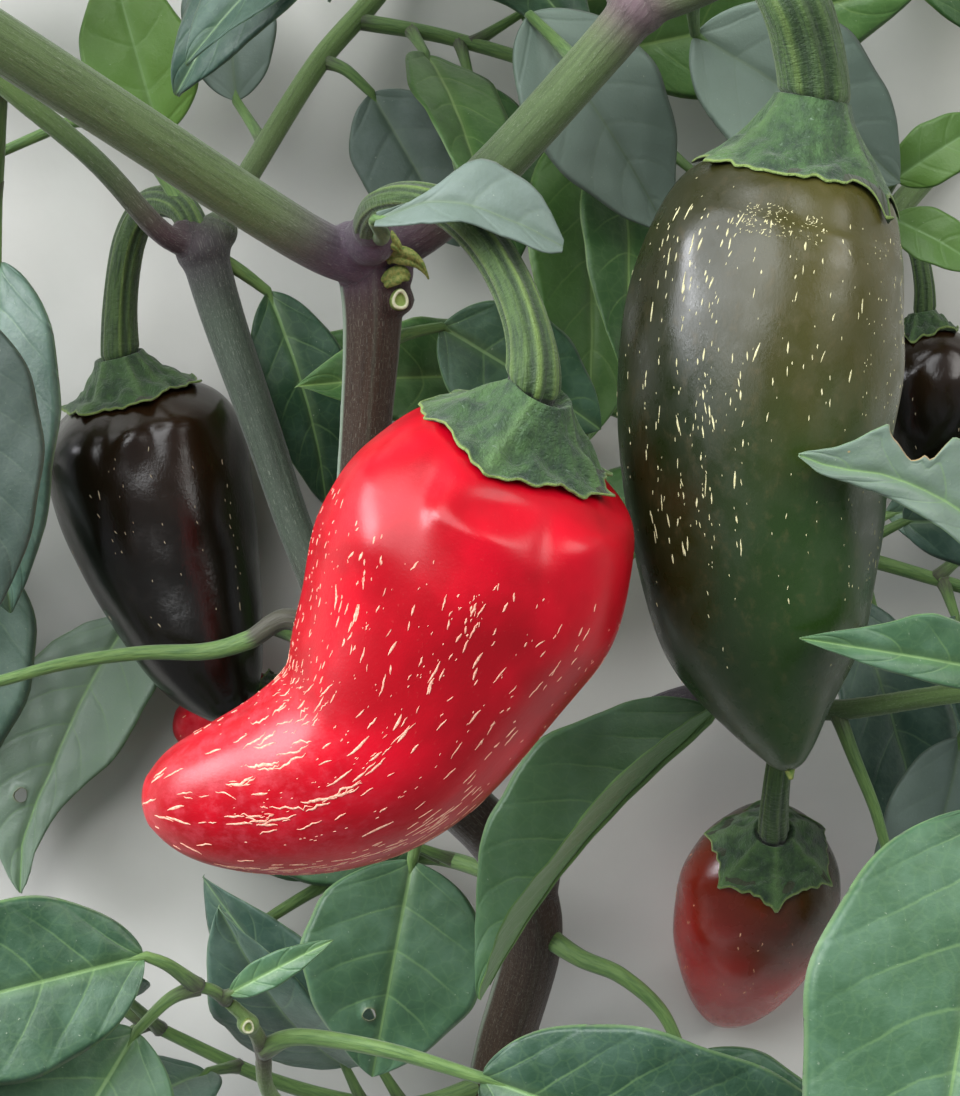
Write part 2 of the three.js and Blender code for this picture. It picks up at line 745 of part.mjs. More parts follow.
// A round tapering solid along a route. The end may be drawn out to a tip, and the girth shaped by angle.
function limbSolid(places, { sides = 8, grow = 0, tip = null, girth = () => 1 } = {}) {
  const route = routeOf(places);
  const rings = route.spans * (route.spans === 2 ? FINE_STEPS : 1) + 1;
  let across = new THREE.Vector3(0.31, 0.17, 0.93);
  const points = [route.point(0)];
  for (let ring = 0; ring < rings; ring++) {
    const share = ring / (rings - 1);
    const centre = route.point(share);
    const heading = route.heading(share);
    across = squareTo(heading, across);
    const beside = heading.clone().cross(across);
    for (let side = 0; side < sides; side++) {
      const angle = (side / sides) * 2 * Math.PI;
      const radius = route.radius(share) * girth(share, angle) + grow;
      points.push(centre.clone()
        .addScaledVector(across, Math.cos(angle) * radius)
        .addScaledVector(beside, Math.sin(angle) * radius));
    }
  }
  const end = tip ? vector(tip).addScaledVector(route.heading(1), grow) : route.point(1);
  points[0].addScaledVector(route.heading(0), -grow);
  points.push(end);
  return solidFrom(points, ringFaces(rings, sides));
}

// The swelling of a fork: a ball of few faces
function knobSolid(place, radius) {
  const ball = new THREE.SphereGeometry(radius, KNOB_SIDES, KNOB_ROWS);
  const corners = [];
  const position = ball.getAttribute('position');
  const centre = vector(place);
  for (let index = 0; index < position.count; index++) {
    corners.push(new THREE.Vector3().fromBufferAttribute(position, index));
  }
  const points = [centre.clone().add(corners[0])];
  for (let row = 1; row < KNOB_ROWS; row++) {
    for (let side = 0; side < KNOB_SIDES; side++) {
      points.push(centre.clone().add(corners[row * (KNOB_SIDES + 1) + side]));
    }
  }
  points.push(centre.clone().add(corners[KNOB_ROWS * (KNOB_SIDES + 1)]));
  return solidFrom(points, ringFaces(KNOB_ROWS - 1, KNOB_SIDES));
}

// Of a solid that a cut left in several scraps, the largest
function largestOf(solid) {
  const scraps = solid.decompose();
  scraps.sort((one, other) => other.volume() - one.volume());
  return scraps[0];
}

// Limbs

function limbBody({ route, knob }, grow = 0) {
  let body = limbSolid(route, { sides: LIMB_SIDES, grow });
  if (knob) {
    body = body.add(knobSolid(route[route.length - 1], knob + grow));
  }
  return body;
}

// What each piece looks like when it is grown by the gap, for cutting its neighbours clear of it
const grown = {};
const pieces = [];

function place(name, body, look, clearOf = []) {
  let cut = body;
  for (const neighbour of clearOf) {
    cut = cut.subtract(grown[neighbour]);
  }
  pieces.push({ name, body: largestOf(cut), look });
}

for (const [name, limb] of Object.entries(limbs)) {
  grown[name] = limbBody(limb, GAP);
  place(name, limbBody(limb), limb.look, limb.clearOf);
}

// Fruits with their calyx and stalk

function fruitBody({ axis, tip, sides, lobes: [count, depth, turn] }, grow = 0) {
  const girth = (share, angle) => 1 + depth * (1 - share) ** 2 * Math.cos(count * angle + turn);
  return limbSolid(axis, { sides, grow, tip, girth });
}

// The calyx is a toothed cap that falls from its collar over the shoulders of the fruit
function calyxBody({ axis, calyx }) {
  const { rim, collar, height, fall, teeth, turn } = calyx;
  const top = vector(axis[0]);
  const outward = top.clone().sub(vector(axis[1])).normalize();
  const across = squareTo(outward, new THREE.Vector3(0, 0, 1));
  const beside = outward.clone().cross(across);
  const sides = teeth * 2;
  const rings = [
    [height, collar, 0],
    [height * 0.55, collar + (rim - collar) * 0.22, 0.02],
    [height * 0.24, collar + (rim - collar) * 0.55, 0.04],
    [0.9 - fall * 0.55, rim * 0.94, 0.07],
    [0.5 - fall, rim, 0.08],
    [-fall - 1.6, rim * 0.93, 0.08],
  ];
  const points = [top.clone().addScaledVector(outward, height)];
  for (const [level, radius, bite] of rings) {
    for (let side = 0; side < sides; side++) {
      const angle = (side / sides) * 2 * Math.PI;
      const reach = radius * (1 + bite * Math.cos(teeth * angle + turn));
      points.push(top.clone()
        .addScaledVector(outward, level)
        .addScaledVector(across, Math.cos(angle) * reach)
        .addScaledVector(beside, Math.sin(angle) * reach));
    }
  }
  points.push(top.clone().addScaledVector(outward, -fall - 3.5));
  return solidFrom(points, ringFaces(rings.length, sides));
}

for (const [name, fruit] of Object.entries(fruits)) {
  grown[name] = fruitBody(fruit, GAP);
  pieces.push({ name, body: fruitBody(fruit), look: fruit.look });
  const stalk = limbSolid(fruit.stalk, { sides: LIMB_SIDES }).add(calyxBody(fruit));
  grown[`${name}_stalk`] = limbSolid(fruit.stalk, { sides: LIMB_SIDES, grow: GAP });
  place(`${name}_stalk`, stalk, 'stalk', [name, ...fruit.clearOf]);
}

// Leaves

// The outline of a blade: its half width along the midrib, 1 at its widest
function outlineAt(share) {
  const widest = 0.4;
  return ((share / widest) ** 0.6) * (((1 - share) / (1 - widest)) ** 0.9);
}

// Places on a blade: along the midrib by share, across it from -1 to 1
function bladeMap({ stalk, tip, width, face, arch, fold }) {
  const foot = vector(stalk[stalk.length - 1]);
  const chord = vector(tip).sub(foot);
  const heading = chord.clone().normalize();
  const upward = squareTo(heading, vector(face));
  const beside = heading.clone().cross(upward);
  const tilt = THREE.MathUtils.degToRad(fold);
  const at = (share, over) => {
    const reach = Math.abs(over) * (width / 2) * outlineAt(share);
    return foot.clone()
      .addScaledVector(chord, share)
      .addScaledVector(upward, arch * 4 * share * (1 - share) + reach * Math.sin(tilt))
      .addScaledVector(beside, Math.sign(over) * reach * Math.cos(tilt));
  };
  return { at, upward, length: chord.length() };
}

// A leaf that the branch is known by has a full outline with a blunt edge, one of a spray a plainer one.
// The corners of a section: across the blade, above or below it, and the angle round the stalk.
const fullBlade = {
  stations: [0.06, 0.22, 0.42, 0.64, 0.86],
  section: [[-1, 0.4, 150], [0, 0.5, 90], [1, 0.4, 30], [1, -0.4, -30], [0, -0.5, -90], [-1, -0.4, -150]],
};
const plainBlade = {
  stations: [0.22, 0.6],
  section: [[-1, 0, 180], [0, 0.5, 90], [1, 0, 0], [0, -0.5, -90]],
};

// The radius along a stalk tapers evenly where its places don't give it
function stalkRoute(stalk) {
  const last = stalk.length - 1;
  return stalk.map((spot, index) => {
    const taper = STALK_FOOT + (STALK_HEAD - STALK_FOOT) * (index / last);
    return spot.length === 4 ? spot : [...spot, taper];
  });
}

// Stalk and blade of one leaf in one skin
function leafSolid(leaf, { stations, section }) {
  const { at, upward, length } = bladeMap(leaf);
  const thickness = Math.max(BLADE_LEAST, length * BLADE_SHARE);
  const route = routeOf(stalkRoute(leaf.stalk));
  const rings = [];
  let across = upward;
  for (let step = route.spans; step >= 0; step--) {
    const share = step / route.spans;
    const heading = route.heading(share);
    across = squareTo(heading, across);
    const beside = heading.clone().cross(across);
    rings.unshift(section.map(([, , degrees]) => {
      const angle = THREE.MathUtils.degToRad(degrees);
      return route.point(share)
        .addScaledVector(beside, Math.cos(angle) * route.radius(share))
        .addScaledVector(across, Math.sin(angle) * route.radius(share));
    }));
  }
  for (const share of stations) {
    rings.push(section.map(([over, level]) => at(share, over).addScaledVector(upward, level * thickness)));
  }
  return solidFrom([route.point(0), ...rings.flat(), at(1, 0)], ringFaces(rings.length, section.length));
}

function massBody({ stem, leaves }, blade) {
  const solids = leaves.map((leaf) => leafSolid(leaf, blade));
  if (stem) {
    solids.push(limbSolid(stem, { sides: STEM_SIDES }));
  }
  return solids.reduce((whole, solid) => whole.add(solid));
}

for (const [name, mass] of Object.entries(foliage)) {
  grown[name] = limbSolid(mass.stem ?? mass.leaves[0].stalk, { sides: STEM_SIDES, grow: GAP });
  place(name, massBody(mass, fullBlade), mass.look, mass.clearOf);
}

// Leaves that grow by rule keep clear of everything that is there before them

const taken = [];

function takeRoute(places) {
  const route = routeOf(places);
  const steps = route.spans * SPAN_CHECKS;
  for (let step = 0; step <= steps; step++) {
    const share = step / steps;
    taken.push({ spot: route.point(share), radius: route.radius(share) });
  }
}

function bladeSpots(leaf) {
  const { at } = bladeMap(leaf);
  const spots = [];
  for (let step = 0; step <= BLADE_CHECKS; step++) {
    for (const over of [-1, -0.5, 0, 0.5, 1]) {
      spots.push(at(step / BLADE_CHECKS, over));
    }
  }
  return spots;
}

function takeBlade(leaf) {
  for (const spot of bladeSpots(leaf)) {
    taken.push({ spot, radius: BLADE_ROOM });
  }
}

function isClear(leaf) {
  const inReach = (spot) => spot.x > REACH.left && spot.x < REACH.right && spot.y > REACH.foot
    && spot.y < REACH.head && spot.z > REACH.ground && spot.z < REACH.top;
  return bladeSpots(leaf).every((spot) => inReach(spot)
    && taken.every((other) => spot.distanceTo(other.spot) > other.radius + LEAF_CLEAR));
}

for (const limb of Object.values(limbs)) {
  takeRoute(limb.route);
}
for (const fruit of Object.values(fruits)) {
  takeRoute(fruit.axis);
  takeRoute(fruit.stalk);
}
for (const { stem, leaves } of Object.values(foliage)) {
  if (stem) {
    takeRoute(stem);
  }
  for (const leaf of leaves) {
    takeRoute(stalkRoute(leaf.stalk));
    takeBlade(leaf);
  }
}
for (const spray of Object.values(sprays)) {
  takeRoute(spray.stem);
}

// Draws from 0 to 1 that a seed repeats
function drawsFrom(seed) {
  let state = seed * 7919 + 17;
  return () => {
    state = (state * DRAW_STEP) % DRAW_RANGE;
    return state / DRAW_RANGE;
  };
}

function growSpray({ seed, stem, leaves, length }) {
  const draw = drawsFrom(seed);
  const drawn = ([least, spread]) => least + spread * draw();
  const route = routeOf(stem);
  const grownLeaves = [];
  const tries = leaves * TRIES;
  for (let attempt = 0; attempt < tries && grownLeaves.length < leaves; attempt++) {
    const share = attempt === 0 ? 1 : drawn(SPRAYED.seat);
    const heading = route.heading(share);
    const across = squareTo(heading, new THREE.Vector3(0, 0, 1));
    const beside = heading.clone().cross(across);
    const turn = attempt * LEAF_TURN + draw();
    const lean = attempt === 0 ? SPRAYED.leadLean : drawn(LEAF_LEAN);
    const way = heading.clone().multiplyScalar(Math.cos(lean))
      .addScaledVector(across, Math.cos(turn) * Math.sin(lean))
      .addScaledVector(beside, Math.sin(turn) * Math.sin(lean));
    const root = route.point(share);
    const base = root.clone().addScaledVector(way, length * drawn(SPRAYED.stalk));
    const reach = length * drawn(SPRAYED.blade);
    const tip = base.clone().addScaledVector(way.clone().add(LEAF_SAG).normalize(), reach);
    const leaf = {
      stalk: [root.toArray(), base.toArray()],
      tip: tip.toArray(),
      width: reach * drawn(SPRAYED.width),
      face: [heading.x * 0.5, heading.y * 0.5, heading.z * 0.5 + 0.9],
      arch: reach * SPRAYED.arch,
      fold: drawn(SPRAYED.fold),
    };
    if (isClear(leaf)) {
      grownLeaves.push(leaf);
      takeBlade(leaf);
    }
  }
  return grownLeaves;
}

for (const [name, spray] of Object.entries(sprays)) {
  place(name, massBody({ stem: spray.stem, leaves: growSpray(spray) }, plainBlade), 'leaf', spray.clearOf);
}

// The branch

function meshFrom({ name, body, look }) {
  const { vertProperties, triVerts } = body.getMesh();
  const geometry = new THREE.BufferGeometry();
  geometry.setAttribute('position', new THREE.BufferAttribute(vertProperties, 3));
  geometry.setIndex(new THREE.BufferAttribute(triVerts, 1));
  geometry.computeVertexNormals();
  const [color, roughness] = looks[look];
  const material = new THREE.MeshStandardMaterial({ color, roughness, metalness: 0 });
  const mesh = new THREE.Mesh(geometry, material);
  mesh.name = name;
  return mesh;
}

const branch = new THREE.Group();
branch.position.set(-PLAN_MIDDLE.x, -PLAN_MIDDLE.y, -PLAN_MIDDLE.z);
for (const piece of pieces) {
  branch.add(meshFrom(piece));
}

const group = new THREE.Group();
group.add(branch);

export default group;
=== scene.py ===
import math

import bpy
import numpy as np
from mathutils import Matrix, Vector
from mathutils.bvhtree import BVHTree


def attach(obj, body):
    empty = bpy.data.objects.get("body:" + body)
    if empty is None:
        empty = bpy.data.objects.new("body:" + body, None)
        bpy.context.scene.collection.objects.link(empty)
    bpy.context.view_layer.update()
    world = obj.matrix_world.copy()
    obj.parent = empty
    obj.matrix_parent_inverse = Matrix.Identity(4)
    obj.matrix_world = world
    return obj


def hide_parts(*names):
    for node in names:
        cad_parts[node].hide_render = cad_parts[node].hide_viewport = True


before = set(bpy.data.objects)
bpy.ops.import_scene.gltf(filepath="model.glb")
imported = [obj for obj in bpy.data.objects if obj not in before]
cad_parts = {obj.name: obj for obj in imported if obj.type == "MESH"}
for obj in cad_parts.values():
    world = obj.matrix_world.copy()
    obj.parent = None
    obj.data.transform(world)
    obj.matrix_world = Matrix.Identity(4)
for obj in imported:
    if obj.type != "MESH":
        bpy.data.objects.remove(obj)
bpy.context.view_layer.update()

# Stems and boughs. The stem of a chilli is brown and half woody at the foot, and forks in two at each
# swollen, purple node into boughs of green skin. One skin covers them all, because they grew as one:
# each limb is a tapering tube, and the tubes are melted together at the forks.

# The middle of the branch in the plan that all places below are given in, in millimetres
PLAN_MIDDLE = np.array([-3.256, 13.681, 0.0])

# Places along the middle line of each limb, with the radius there
LIMBS = {
    "main_stem": [
        (0.5, -99, 4.3, 4.3), (0.9, -91, 4.3, 4.3), (3.6, -75, 8, 4.2), (7.8, -56, 18, 4.1),
        (3.6, -43.4, 25, 4), (-5.7, -32.8, 31, 3.9), (-17.8, -16.3, 37, 3.9),
    ],
    "fork_stem_right": [
        (-17.8, -16.3, 37, 3.2), (-16.8, 1.1, 41, 3.2), (-15.5, 16, 45, 3.3), (-14.4, 30, 48.5, 3.7),
        (-14.7, 38.8, 50, 4.2),
    ],
    "fork_stem_left": [
        (-17.8, -16.3, 37, 2.5), (-25.4, 1.1, 32, 2.5), (-30.9, 16.7, 30, 2.7), (-36.5, 32.4, 28, 3.1),
        (-39.5, 42.5, 28, 3.4),
    ],
    "left_bough": [
        (-14.7, 38.3, 50, 3.6), (-20.4, 39.4, 55, 3.4), (-29.6, 44.2, 63, 3.4), (-44.2, 52.6, 78, 3.4),
        (-56.5, 59.5, 91, 3.4), (-63.2, 63.5, 97, 3.2),
    ],
    "right_bough": [
        (-14.7, 38.8, 50, 3.6), (-6.6, 42.9, 53, 3.2), (2.2, 50.2, 56, 3.2), (15.6, 64.4, 60, 3.2),
        (20.5, 70, 62, 3.3),
    ],
    "bough_to_green_fruit": [(20.5, 70, 62, 2.9), (27, 71.9, 64, 2.9), (33.4, 74.8, 66, 3.1)],
    "bough_beyond_green_fruit": [(33.4, 74.8, 66, 2.6), (44.5, 79.9, 67, 2.4), (55.6, 84.9, 65, 2.2)],
    "bough_up": [(20.5, 70, 62, 2.6), (16.4, 75.5, 60, 2.5), (13.1, 83, 58, 2.3), (11.6, 91, 55, 2.1)],
    "twig_left": [
        (-39.5, 42.5, 28, 1.9), (-45, 44.6, 32, 1.7), (-53.5, 53.9, 37, 1.6), (-65.6, 63.9, 43, 1.6),
        (-74.1, 71.8, 48, 1.5),
    ],
    "twig_right": [
        (-39.5, 42.5, 28, 2), (-36.5, 47.7, 26, 1.8), (-31.9, 56.9, 22, 1.75), (-23.7, 72.2, 14, 1.7),
        (-15.2, 84, 7, 1.7), (-8.4, 97, 1.7, 1.7),
    ],
    "lower_bough": [
        (7.8, -54, 18.6, 2.9), (11.4, -37, 29, 2.7), (22.3, -24.6, 35.6, 2.6),
        (33.2, -20.6, 38.8, 2.6), (42, -20.9, 40, 2.7),
    ],
    "right_shoot": [
        (42, -20.9, 40, 1.7), (48.6, -22, 45, 1.5), (63.7, -19.2, 53, 1.4), (73.2, -18.3, 58, 1.4),
    ],
    "back_bough": [
        (42, -20.9, 40, 2.4), (42.1, -1.7, 24, 2.3), (47.8, 25.1, 11, 2.2), (62.2, 49.8, 4.5, 2),
        (77.2, 65.4, 1.8, 1.8),
    ],
    "low_shoot": [
        (1.2, -88, 5, 1.8), (-8, -91.5, 20, 1.6), (-20.4, -82, 43, 1.3), (-27.3, -71.6, 58, 1.1),
        (-27.9, -64.4, 64, 1.15), (-29.3, -60.1, 68, 0.95), (-31.6, -57.3, 70, 0.9),
    ],
}

# Radius of the swelling at the fork in which a limb ends
FORK_SWELLING = {
    "main_stem": 4.7, "fork_stem_right": 4.9, "fork_stem_left": 4.0, "right_bough": 3.9,
    "bough_to_green_fruit": 3.6, "lower_bough": 3.3,
}

# Colour of the bark at each of those places
BARK_COLOURS = {
    "brown": (66, 50, 34), "umber": (56, 42, 30), "violet": (92, 76, 92), "plum": (66, 46, 50),
    "dusk": (62, 74, 60), "ink": (54, 47, 52), "green": (94, 114, 70), "moss": (76, 96, 58),
    "lime": (110, 138, 78), "rose": (116, 88, 102),
}
BARK_ALONG = {
    "main_stem": "brown brown brown umber umber umber umber",
    "fork_stem_right": "umber umber umber umber plum",
    "fork_stem_left": "umber dusk dusk dusk ink",
    "left_bough": "violet violet green green green green",
    "right_bough": "violet plum moss green rose",
    "bough_to_green_fruit": "rose green rose",
    "bough_beyond_green_fruit": "moss green lime",
    "bough_up": "rose moss green lime",
    "twig_left": "ink plum moss lime lime",
    "twig_right": "ink moss green lime lime lime",
    "lower_bough": "umber ink ink ink ink",
    "right_shoot": "ink moss lime lime",
    "back_bough": "ink dusk moss green lime",
    "low_shoot": "moss moss lime lime plum lime lime",
}

# Ridges that run down a stem from the leaf bases: degrees round from the top, and height
STEM_RIDGES = {
    "main_stem": [(-70, 0.35), (15, 0.2), (95, 0.3)],
    "fork_stem_right": [(-72, 0.55), (8, 0.22), (80, 0.3)],
    "fork_stem_left": [(-60, 0.12), (50, 0.12)],
    "left_bough": [(-50, 0.08), (60, 0.1)],
    "right_bough": [(-40, 0.1), (70, 0.1)],
    "lower_bough": [(0, 0.12)],
}
# Knuckles under the feet of the leaves and fruit stalks: place and radius
KNUCKLES = [
    (-14.2, 40.6, 51.2, 4.3), (-17.2, 40.4, 53.4, 3.0), (-11.6, 36.6, 51.2, 2.8), (-10.9, 33.2, 50.6, 2.2),
    (-14.4, 40.6, 56.4, 3.5), (-14.2, 41.7, 60.2, 2.5),
    (-37.4, 45.2, 27.6, 2.9), (-41.6, 44.6, 28.4, 2.6), (21.6, 72.4, 62.6, 3.1), (35.2, 75.2, 66.6, 2.9),
    (-29.4, -60.3, 68.2, 1.5), (73.6, -18.2, 58.2, 1.9), (41.8, -20.4, 40.2, 3.1),
]
RIDGE_WIDTH = 0.3
LIMB_SIDES = 28
LIMB_STEP = 0.8
# How fine the melted skin is, in millimetres, and how often its creases are softened
MELT_GRAIN = 0.46
MELT_ROUNDS = 5
# Millimetres over which the bark of one limb runs into the next, and radians that a ridge reaches
BARK_BLEND = 0.7
RIDGE_REACH = 0.5
# Corners that are dealt with at once, and what keeps the streaks of two limbs apart
CORNERS_AT_ONCE = 4000
GRAIN_SHIFT = 37


def spots_on(places, shares):
    """Places of a smooth line, at shares of its length counted span by span."""
    places = np.asarray(places, float)
    reach = np.atleast_1d(shares) * (len(places) - 1)
    span = np.minimum(reach.astype(int), len(places) - 2)
    t = (reach - span)[:, None]
    ends = np.vstack([2 * places[0] - places[1], places, 2 * places[-1] - places[-2]])
    before, here, there, after = (ends[span + step] for step in range(4))
    bend = (2 * before - 5 * here + 4 * there - after) * t ** 2
    twist = (3 * here - before - 3 * there + after) * t ** 3
    return 0.5 * (2 * here + (there - before) * t + bend + twist)


def headings_on(places, shares):
    """Direction of a smooth line at shares of its length."""
    line = np.asarray(places, float)[:, :3]
    shares = np.atleast_1d(shares)
    ahead = spots_on(line, np.minimum(shares + 0.0001, 1))
    behind = spots_on(line, np.maximum(shares - 0.0001, 0))
    return unit(ahead - behind)


def unit(ways):
    return ways / np.linalg.norm(ways, axis=-1, keepdims=True)


def square_to(heading, wish):
    """The direction square to a heading that is nearest to the wished one."""
    wish = np.asarray(wish, float)
    return unit(wish - heading * (wish * heading).sum(-1, keepdims=True))


def turned_frames(headings, wish):
    """Two directions across a line at each step, carried along it without twist."""
    across = []
    for heading in headings:
        wish = square_to(heading, wish)
        across.append(wish)
    across = np.array(across)
    return across, np.cross(headings, across)


def millimetres_along(line):
    """How far each place of a line is from its start."""
    return np.concatenate([[0], np.cumsum(np.linalg.norm(np.diff(line, axis=0), axis=1))])


def even_shares(places, step):
    """Shares that divide a line into steps of about the given length."""
    line = spots_on(np.asarray(places, float)[:, :3], np.linspace(0, 1, 400))
    run = millimetres_along(line)
    count = max(int(run[-1] / step), 3) + 1
    return np.interp(np.linspace(0, run[-1], count), run, np.linspace(0, 1, 400))


def tube_rings(places, shares, sides, swell=None, wish=(0, 0, 1)):
    """Rings round a smooth line, as an array of rings by sides, and where each corner is in its grain."""
    return rings_round(spots_on(places, shares), headings_on(places, shares), shares, sides, swell, wish)


def rings_round(spots, headings, shares, sides, swell=None, wish=(0, 0, 1)):
    across, beside = turned_frames(headings, wish)
    angles = np.arange(sides) / sides * 2 * math.pi
    radii = np.repeat(spots[:, 3:4], sides, axis=1)
    if swell is not None:
        radii = radii * swell(shares[:, None], angles[None, :])
    run = millimetres_along(spots[:, :3])
    rings = (spots[:, None, :3] + across[:, None] * (np.cos(angles) * radii)[:, :, None]
             + beside[:, None] * (np.sin(angles) * radii)[:, :, None])
    grain = np.stack([np.cos(angles) * radii, np.sin(angles) * radii,
                      np.repeat(run[:, None], sides, axis=1)], axis=-1)
    return rings, grain


def capped(rings, first=None, last=None):
    """The corners of a stack of rings, with one corner before the first and one after the last."""
    first = rings[0].mean(0) if first is None else first
    last = rings[-1].mean(0) if last is None else last
    return np.vstack([first[None], rings.reshape(-1, rings.shape[-1]), last[None]])


def ring_faces(rings, sides):
    """Faces of a capped stack of rings, turned outwards."""
    faces = []
    last = 1 + (rings - 1) * sides
    for side in range(sides):
        after = (side + 1) % sides
        faces.append((0, 1 + after, 1 + side))
        for here in range(1, last, sides):
            faces.append((here + side, here + after, here + sides + after, here + sides + side))
        faces.append((last + sides, last + side, last + after))
    return faces


def joined(parts):
    """Several skins, each its corners and faces, as one."""
    corners = []
    faces = []
    count = 0
    for points, skin in parts:
        corners.append(points)
        faces.extend(tuple(corner + count for corner in face) for face in skin)
        count += len(points)
    return np.vstack(corners), faces


def lay_on(mesh, name, values):
    """Numbers or directions kept at each corner of a mesh for its finish to read."""
    values = np.asarray(values, np.float32)
    kinds = {1: ("FLOAT", "value"), 3: ("FLOAT_VECTOR", "vector"), 4: ("FLOAT_COLOR", "color")}
    kind, field = kinds[1 if values.ndim == 1 else values.shape[1]]
    layer = mesh.attributes.new(name, kind, "POINT")
    layer.data.foreach_set(field, values.ravel())


def skin_piece(name, points, faces, finish, slot, nodes, **layers):
    """A smooth mesh piece in the frame, which stands for the CAD nodes it replaces."""
    mesh = bpy.data.meshes.new(name)
    mesh.from_pydata(((points - PLAN_MIDDLE) / 1000).tolist(), [], faces)
    mesh.validate()
    mesh.shade_smooth()
    for layer, values in layers.items():
        lay_on(mesh, layer, values)
    mesh.materials.append(finish)
    piece = bpy.data.objects.new(name, mesh)
    bpy.context.scene.collection.objects.link(piece)
    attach(piece, "root")
    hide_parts(*nodes)
    return piece


def paint(red, green, blue):
    """A paint of 0 to 255 as a shader colour."""
    shares = [value / 255 for value in (red, green, blue)]
    return tuple(v / 12.92 if v < 0.04045 else ((v + 0.055) / 1.055) ** 2.4 for v in shares) + (1.0,)


def finish_named(name, **plain):
    """A new finish, with plain numbers on its shader's own sockets."""
    finish = bpy.data.materials.new(name)
    finish.use_nodes = True
    shader = finish.node_tree.nodes["Principled BSDF"]
    for socket, value in plain.items():
        shader.inputs[socket.replace("_", " ").title().replace("Ior", "IOR")].default_value = value
    return finish


def step(finish, kind, inputs=(), out=0, **settings):
    """One step of a finish: its settings, what goes into its sockets, and the output that is wanted."""
    tree = finish.node_tree
    made = tree.nodes.new("ShaderNode" + kind)
    for name, value in settings.items():
        setattr(made, name, value)
    for socket, value in dict(inputs).items():
        if isinstance(value, bpy.types.NodeSocket):
            tree.links.new(value, made.inputs[socket])
        else:
            made.inputs[socket].default_value = value
    return made.outputs[out]


def layer_of(finish, name, out=1):
    """What lay_on kept under a name: 0 reads it as a colour, 1 as a direction, 2 as a number."""
    return step(finish, "Attribute", attribute_name=name, out=out)


def worked(finish, work, one, other=0.0):
    return step(finish, "Math", {0: one, 1: other}, operation=work)


def product(finish, one, other):
    return worked(finish, "MULTIPLY", one, other)


def total(finish, one, other):
    return worked(finish, "ADD", one, other)


def fade(finish, value, low, high, most=1.0):
    """0 below low and most above high, with a soft step between."""
    risen = step(finish, "MapRange", {0: value, 1: low, 2: high}, interpolation_type="SMOOTHSTEP")
    return risen if most == 1.0 else product(finish, risen, most)


def cloud(finish, place, stretch, scale, detail=3.0, rough=0.55):
    """A noise from 0 to 1 over a place, drawn out or pressed by stretch."""
    drawn = step(finish, "VectorMath", {0: place, 1: stretch}, operation="MULTIPLY")
    return step(finish, "TexNoise", {"Vector": drawn, "Scale": scale, "Detail": detail, "Roughness": rough})


def mixed(finish, share, one, other, blend="MIX"):
    return step(finish, "Mix", {0: share, 6: one, 7: other}, out=2, data_type="RGBA", blend_type=blend)


def coated(finish, colour, coats):
    """A colour with coats laid over it one by one: each is how much it covers, and its own colour."""
    for share, coat in coats:
        colour = mixed(finish, share, colour, coat)
    return colour


def parts_of(finish, vector, out):
    return step(finish, "SeparateXYZ", {0: vector}, out=out)


def dress(finish, colour, rough, height, depth):
    """Puts colour, roughness and a relief of the given depth in metres on the shader."""
    shader = finish.node_tree.nodes["Principled BSDF"]
    links = finish.node_tree.links
    links.new(colour, shader.inputs["Base Color"])
    links.new(rough, shader.inputs["Roughness"])
    bump = step(finish, "Bump", {"Height": height, "Distance": depth, "Strength": 1.0})
    links.new(bump, shader.inputs["Normal"])


def stem_finish():
    """Thin bark and green skin: fine streaks along the limb, dark flecks, and a bloom of short pale down."""
    finish = finish_named("stem_skin", sheen_weight=0.25, sheen_roughness=0.4, specular_ior_level=0.3)
    grain = layer_of(finish, "grain")
    bark = layer_of(finish, "bark", 0)
    streaks = cloud(finish, grain, (1.0, 1.0, 0.06), 1.5, 4.0, 0.6)
    fine = cloud(finish, grain, (1.0, 1.0, 0.6), 6.0, 2.0, 0.7)
    dark = mixed(finish, 1.0, bark, (0.5, 0.5, 0.5, 1.0), "MULTIPLY")
    # Streaks, down, flecks, and the pale backs of the ridges: partly their own paler skin, partly a painted
    # highlight along them
    colour = coated(finish, bark, [
        (fade(finish, streaks, 0.4, 0.75, 0.7), dark),
        (fade(finish, fine, 0.54, 0.74, 0.2), paint(188, 194, 176)),
        (fade(finish, fine, 0.42, 0.28, 0.45), dark),
        (fade(finish, layer_of(finish, "ridge", 2), 0.3, 0.85),
         mixed(finish, 0.75, bark, paint(142, 162, 140))),
    ])
    rough = step(finish, "MapRange", {0: fine, 3: 0.48, 4: 0.75})
    height = total(finish, streaks, product(finish, fine, 0.5))
    dress(finish, colour, rough, height, 0.00018)
    return finish


def limb_skin(name, places):
    """The tube of one limb, with its ridges, and the swelling of the fork that it ends in."""
    ridges = STEM_RIDGES.get(name, [])

    def swell(share, angle):
        girth = np.ones(np.broadcast(share, angle).shape)
        for degrees, height in ridges:
            gap = np.angle(np.exp(1j * (angle - math.radians(degrees))))
            girth = girth + height / 4 * np.exp(-(gap / RIDGE_WIDTH) ** 2)
        return girth

    rings = tube_rings(places, even_shares(places, LIMB_STEP), LIMB_SIDES, swell)[0]
    skins = [(capped(rings), ring_faces(len(rings), LIMB_SIDES))]
    if name in FORK_SWELLING:
        skins.append(ball_skin(places[-1][:3], FORK_SWELLING[name]))
    return joined(skins)


def ball_skin(centre, radius, rows=14, sides=24):
    shares = np.linspace(0, math.pi, rows + 2)[1:-1]
    angles = np.arange(sides) / sides * 2 * math.pi
    rings = np.stack([np.sin(shares)[:, None] * np.cos(angles), np.sin(shares)[:, None] * np.sin(angles),
                      np.repeat(-np.cos(shares)[:, None], sides, axis=1)], axis=-1)
    rings = np.array(centre) + rings * radius
    ends = np.array([0, 0, radius])
    return capped(rings, centre - ends, centre + ends), ring_faces(rows, sides)


